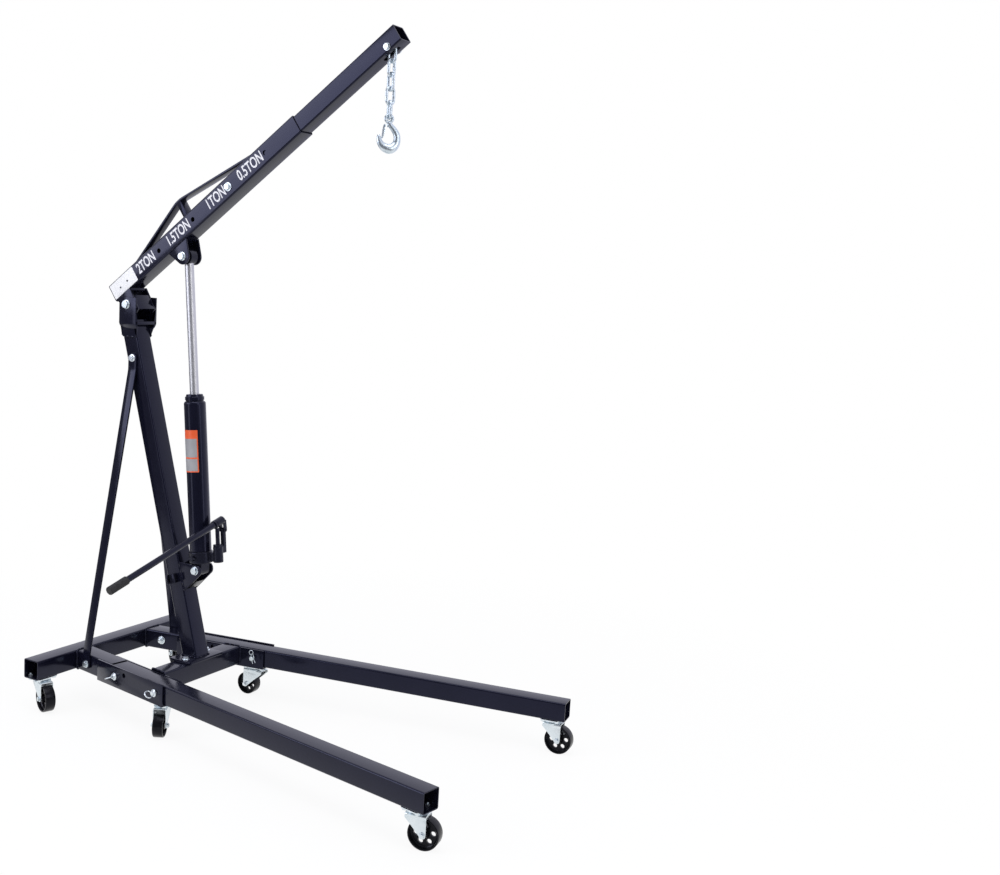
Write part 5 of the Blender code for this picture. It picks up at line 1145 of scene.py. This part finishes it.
sleeve = [(HANDLE + GAP, mouth), (SOCKET - SOCKET_EDGE, mouth), (SOCKET, mouth - SOCKET_EDGE),
          (SOCKET, mouth - 0.006), (SOCKET - COLLAR, mouth - 0.007), (SOCKET - COLLAR, mouth - 0.009),
          (SOCKET, mouth - 0.010), (SOCKET, tail + 0.002), (SOCKET - 0.002, tail), (0.003, tail - 0.0004)]
piece("handle_socket", [revolved(sleeve, 40)], handle_place, CAST_PAINT, "lever")
handle = [(HANDLE - 0.001, -SOCKET_LONG * 0.28), (HANDLE, -SOCKET_LONG * 0.26), (HANDLE, REACH - 0.002),
          (HANDLE - 0.001, REACH - 0.001)]
piece("pump_handle_bar", [revolved(handle, 36)], handle_place, PAINT, "lever", ["pump_handle"])
grip_start = REACH - GRIP_LONG
h = np.linspace(grip_start, REACH + 0.002, GRIP_RINGS)
r = GRIP - GRIP_DEEP * (np.arange(GRIP_RINGS) % 4 == 0)
profile = np.concatenate([[(HANDLE + GAP, grip_start), (GRIP - 0.0014, grip_start)],
                          np.column_stack([r, h])[1:],
                          [(GRIP - 0.002, REACH + 0.0031), (0.003, REACH + 0.0032)]])
piece("handle_grip_sleeve", [revolved(profile, 40)], handle_place, RUBBER, "lever", ["handle_grip"])

# %% Label on the cylinder
LABEL_SPAN, LABEL_OUT = (0.334, 0.475, -136, -40), 0.0003
PANELS, PANEL_OUT = ((0.338, 0.379, -134, -46), (0.384, 0.446, -134, -46)), 0.0005


def wrap(low, high, left, right, out):
    """A thin curved patch on the cylinder between two heights and two angles in degrees."""
    t = np.radians(np.linspace(left, right, 25))
    under, over = CYLINDER - 0.0002, CYLINDER + out
    rows = [(under, low), (over, low), (over, high), (under, high)]
    grid = np.stack([np.stack([r * np.cos(t), r * np.sin(t), 0 * t + h], 1) for r, h in rows])
    return shell(np.swapaxes(grid, 0, 1))


piece("cylinder_label", [wrap(*LABEL_SPAN, LABEL_OUT)], JACK, ORANGE, "ram")
piece("cylinder_label_panels", [wrap(*panel, PANEL_OUT) for panel in PANELS], JACK, GREY, "ram")

# %% [markdown]
# ## Chain and hook
# Five welded links and a forged eye hook with a sprung latch, all zinc plated. A link is a bar
# along two straights and two half circles, with a lump where its wire was butt welded. The hook's
# line and its radius are drawn as points and smoothed into a curve; the eye, the bar and the lug
# are melted into one skin.

# %% Chain links
LINKS, LINK_PITCH, WIRE, LINK_WIDE, ROOM, TWIST = 5, 0.041, 0.0085, 0.0322, 0.0007, -9
WELD_LONG, WELD_LUMP, LINK_SHARP = 0.0042, 0.13, 60.0
bend = (LINK_WIDE - WIRE) / 2
straight = (LINK_PITCH + WIRE) / 2 - bend
line = np.concatenate([arc((0, straight), bend, 0, 180, 20), arc((0, -straight), bend, 180, 360, 20)])
line = paced(line, 0.0022, True)
lump = np.exp(-((line[:, 1] / WELD_LONG) ** 2)) * (line[:, 0] > 0)
link = [wire(line, WIRE / 2 * (1 + WELD_LUMP * lump), 18, True)]
hang = np.array(joints["link_1_swing"]["pos_m"], float)
crown = hang[2] + HANGER_SHANK + GAP


def link_turn(index):
    """A quarter turn more than the last link, and a slight twist, in degrees."""
    return 90 * (index % 2) + TWIST * index


for index in range(LINKS):
    number = index + 1
    place = stand((hang[0], hang[1], crown - LINK_PITCH / 2), (1, 0, 0), (0, 0, 1))
    piece(f"link_{number}_ring", moved(link, turn=spin("Z", link_turn(index))), place, CHAIN_ZINC,
          f"link_{number}", [f"chain_link_{number}"], LINK_SHARP)
    crown += ROOM - LINK_PITCH

# %% Hook
HOOK_EYE, HOOK_WIRE, HOOK_STOUT, HOOK_FLAT = 0.0105, 0.009, 1.13, 0.92
FORGING_CELL, FORGING_ROUNDS, FORGING_EDGE, LUG_THICK, LUG_ROOT = 0.0006, 7, 0.0008, 0.006, 0.003
HOOK_LINE = np.array([
    (-0.001, -0.0105, 0.0050), (0.006, -0.0200, 0.0068), (0.017, -0.0320, 0.0080),
    (0.0245, -0.0445, 0.0087), (0.0265, -0.0580, 0.0092), (0.0240, -0.0710, 0.0102),
    (0.0155, -0.0820, 0.0120), (0.0030, -0.0870, 0.0128), (-0.0105, -0.0835, 0.0116),
    (-0.0200, -0.0760, 0.0094), (-0.0255, -0.0675, 0.0078), (-0.0280, -0.0580, 0.0060),
    (-0.0290, -0.0510, 0.0042), (-0.0292, -0.0460, 0.0016),
])
LATCH, LATCH_LUG, RIVET, RIVET_HALF = np.array([-0.0115, -0.021]), 0.0038, 0.0030, 0.0062
hook_turn = math.radians(link_turn(LINKS))
hook_z = crown - HOOK_EYE + HOOK_WIRE / 2
hook_place = stand((hang[0], hang[1], hook_z), (math.cos(hook_turn), math.sin(hook_turn), 0), (0, 0, 1))
smooth = curved(HOOK_LINE, 6)
hook_bar = wire(smooth[:, :2], smooth[:, 2] * HOOK_STOUT, 24, flat=HOOK_FLAT)
lug = np.concatenate([arc(LATCH, LATCH_LUG, 90, 270, 14),
                      [(LUG_ROOT, LATCH[1] - LATCH_LUG), (LUG_ROOT, LATCH[1] + LATCH_LUG)]])
shells = [hook_bar, hoop(HOOK_EYE, HOOK_WIRE / 2, 20, 48)]
shells += slab(lug, -LUG_THICK / 2, LUG_THICK / 2, FORGING_EDGE)
hook = piece("hook_forging", shells, hook_place, CHAIN_ZINC, "hook", ["hook"])
fused(hook, FORGING_CELL, FORGING_ROUNDS)
rivet = cross_rod(RIVET, RIVET_HALF, (LATCH[0], 0, LATCH[1]), FORGING_EDGE, 24)
piece("latch_rivet", rivet, hook_place, CHAIN_ZINC, "hook")

# %% Latch
SHEET, SHEET_EDGE, LATCH_IN, LATCH_HALF = 0.0014, 0.0003, 0.0034, 0.0046
tip_x, tip_z, tip_radius = HOOK_LINE[11]
rest = np.array([tip_x + tip_radius + 0.003, tip_z]) - LATCH
far_end = np.linalg.norm(rest)
rest = rest / far_end
latch_axes = np.array([rest, (-rest[1], rest[0])])
ear = np.array([(-0.0046, -0.0040), (-0.0046, 0.0042), (0.010, 0.0048), (far_end - 0.002, 0.0022),
                (far_end, 0.0008), (far_end, -0.0014), (0.012, -0.0042)])
ear = eased(LATCH + ear @ latch_axes, [0.004, 0.004, 0.003, 0.002, 0.001, 0.001, 0.004])
face = np.array([(0.007, -0.0042), (far_end, -0.0016), (far_end, SHEET - 0.0016), (0.007, SHEET - 0.0042)])
shells = twin(ear, LATCH_IN, LATCH_IN + SHEET, SHEET_EDGE)
shells += slab(LATCH + face @ latch_axes, -LATCH_HALF, LATCH_HALF, SHEET_EDGE)
piece("hook_latch_sheet", shells, hook_place, CHAIN_ZINC, "latch", ["hook_latch"])

# %% [markdown]
# ## Casters
# Six swivel casters: a plate with a pressed race and four bolts, a stamped fork, and a cast wheel
# with six round holes in its dished web. The wheel is a profile carried round its axle, then
# drilled. The headings of the forks are part of the frame, so each fork is turned to where its
# wheel's joint lies from its swivel.

# %% Caster plates
PLATE_W, PLATE_T, PLATE_CORNER, STAMP_EDGE = 0.062, 0.004, 0.009, 0.0008
RACE, RACE_TALL = 0.027, 0.007
BOLT_EDGE, BOLT_Y, CASTER_BOLT, CASTER_NUT = 0.0085, 0.0195, (0.013, 0.0052, 0), (0.013, 0.0065, 0)


def top_plate(height, long):
    """The bolted plate and the upper race: a rounded rectangle and a shallow turned cup below it."""
    z = height - GAP
    low = z - PLATE_T
    race = [(RACE * 0.70, low + 0.001), (RACE, low - 0.0005), (RACE, low - RACE_TALL * 0.45),
            (RACE * 0.95, low - RACE_TALL * 0.72), (RACE * 0.84, low - RACE_TALL)]
    return [plate(rounded(long, PLATE_W, PLATE_CORNER), low, z, STAMP_EDGE), revolved(race, 56)]


def plate_bolts(height, long, floor_top):
    """Four hexagon heads under the plate, and their nuts on the floor of the tube above it."""
    heads = laid(bolt_head(*CASTER_BOLT), "xyz", (1, 1, -1))
    nuts = nut_end(*CASTER_NUT, 0.004, 0.004) if floor_top else []
    low = height - GAP - PLATE_T + 0.0014
    spots = [(x, y) for x in (BOLT_EDGE - long / 2, long / 2 - BOLT_EDGE) for y in (-BOLT_Y, BOLT_Y)]
    both = [moved(heads, (x, y, low)) + moved(nuts, (x, y, floor_top - WASHER_THICK)) for x, y in spots]
    return sum(both, [])


# %% Forks and wheels
TRAIL, FORK_IN, FORK_T, FORK_END, FORK_EDGE, MEET = 0.030, 0.0185, 0.003, 0.010, 0.0007, 205
AXLE_BOLT, AXLE_NUT, AXLE_SHANK = (0.013, 0.0052, 0.0095), (0.013, 0.0060, 0.0095), 0.005
WHEEL_WIDE, WHEEL_HOLES, HOLE_SHARE, HOLE_RING = 0.033, 6, 0.155, 0.55


def fork(height, axle_z, back):
    """The stamped fork: a turned crown, a bent saddle, two cheeks cut back in a slope, and the axle."""
    top = height - 2 * GAP - PLATE_T - RACE_TALL
    crown = [(0.006, top), (RACE * 0.80, top), (RACE * 0.93, top - 0.0008), (RACE, top - 0.0024),
             (RACE, top - 0.005), (0.006, top - 0.005)]
    out, front, low, shoulder = FORK_IN + FORK_T, TRAIL + FORK_END, top - 0.014, top - 0.010
    half = [(out, low), (FORK_IN, low), (FORK_IN, top - 0.0055)]
    section = [(-out, low), (-out, top - 0.0015), (out, top - 0.0015), *half,
               (-FORK_IN, top - 0.0055), (-FORK_IN, low)]
    section = eased(section, [0.0006, 0.0065, 0.0065, 0.0006, 0.0006, 0.004, 0.004, 0.0006], 6)
    nose = arc((TRAIL, axle_z), FORK_END, MEET, 360, 18)
    middle = ((nose[0, 0] - back) / 2 + 0.001, (low + nose[0, 1]) / 2)
    slope = curved([(-back, low), middle, nose[0]], 10)
    cheek = np.concatenate([[(-back, shoulder)], slope[:-1], nose, [(front, shoulder)]])
    shells = [revolved(crown, 56, True)] + slab(section, 0.0005 - back, front - 0.0005, STAMP_EDGE, "yzx")
    shells += twin(cheek, FORK_IN + 0.0002, out - 0.0002, FORK_EDGE)
    shells += moved(laid(bolt_head(*AXLE_BOLT), "xzy", (1, -1, 1)), (TRAIL, 0.0002 - out, axle_z))
    shells += moved(laid(nut_end(*AXLE_NUT, 0.0048, 0.0015), "xzy"), (TRAIL, out - 0.0002, axle_z))
    return shells + cross_rod(AXLE_SHANK, out, (TRAIL, 0, axle_z), steps=24)


def wheel_profile(radius):
    """Half of a cast wheel's section, from the bore to the tread, mirrored to the other face."""
    half, rim = WHEEL_WIDE / 2, radius - 0.0052
    side = [(0.0054, -half), (0.0112, -half), (0.0122, 0.0010 - half), (0.0134, -0.0062), (0.0158, -0.0034),
            (rim - 0.0050, -0.0034), (rim - 0.0018, -0.0062), (rim - 0.0004, 0.0016 - half),
            (rim + 0.0008, -half), (radius - 0.0022, -half), (radius - 0.0005, 0.0012 - half),
            (radius, 0.0032 - half)]
    return np.array(side + [(r, -h) for r, h in reversed(side)])


# %% Six casters
# For each pair: height of the plate's top, wheel radius, turn of the wheel's holes in degrees, plate
# length, how far the fork reaches behind its swivel, and the top of the tube's floor above the plate.
CASTERS = {
    "rear": (DECK, 0.046, 12, 0.078, 0.028, DECK + BEAM_WALL),
    "middle": (channel_low, 0.039, 23, 0.080, 0.036, 0),
    "front": (DECK, 0.046, 5, 0.064, 0.0235, DECK + LEG_WALL),
}
UPRIGHT = (0, 0, 1)
for name, side in SIDES.items():
    for where, (height, radius, hole_turn, long, reach_back, floor_top) in CASTERS.items():
        label = f"{name}_{where}"
        swivel, axle = (np.array(joints[f"{label}_{move}"]["pos_m"], float) for move in ("swivel", "roll"))
        base = (swivel[0], swivel[1], 0)
        trail = (axle - swivel) * [1, 1, 0]
        run = (0, 1, 0) if where == "rear" else splay_place(side)[1][0]
        plate_place, fork_place = stand(base, run, UPRIGHT), stand(base, trail, UPRIGHT)
        wheel_place = stand(axle, trail, UPRIGHT)
        zinc(f"{label}_top_plate", top_plate(height, long), plate_place, "frame", [f"{label}_caster_plate"])
        zinc(f"{label}_plate_bolts", plate_bolts(height, long, floor_top), plate_place)
        stamping = fork(height, radius, reach_back)
        zinc(f"{label}_fork_stamping", stamping, fork_place, f"{label}_fork", [f"{label}_caster_fork"])
        casting = laid([revolved(wheel_profile(radius), 80, True)], "xzy")
        wheel = piece(f"{label}_cast_wheel", casting, wheel_place, IRON, f"{label}_wheel",
                      [f"{label}_caster_wheel"])
        spots = arc((0, 0), HOLE_RING * radius, hole_turn, hole_turn + 360, WHEEL_HOLES)[:-1]
        drilled(wheel, bores(radius * HOLE_SHARE, spots), wheel_place)
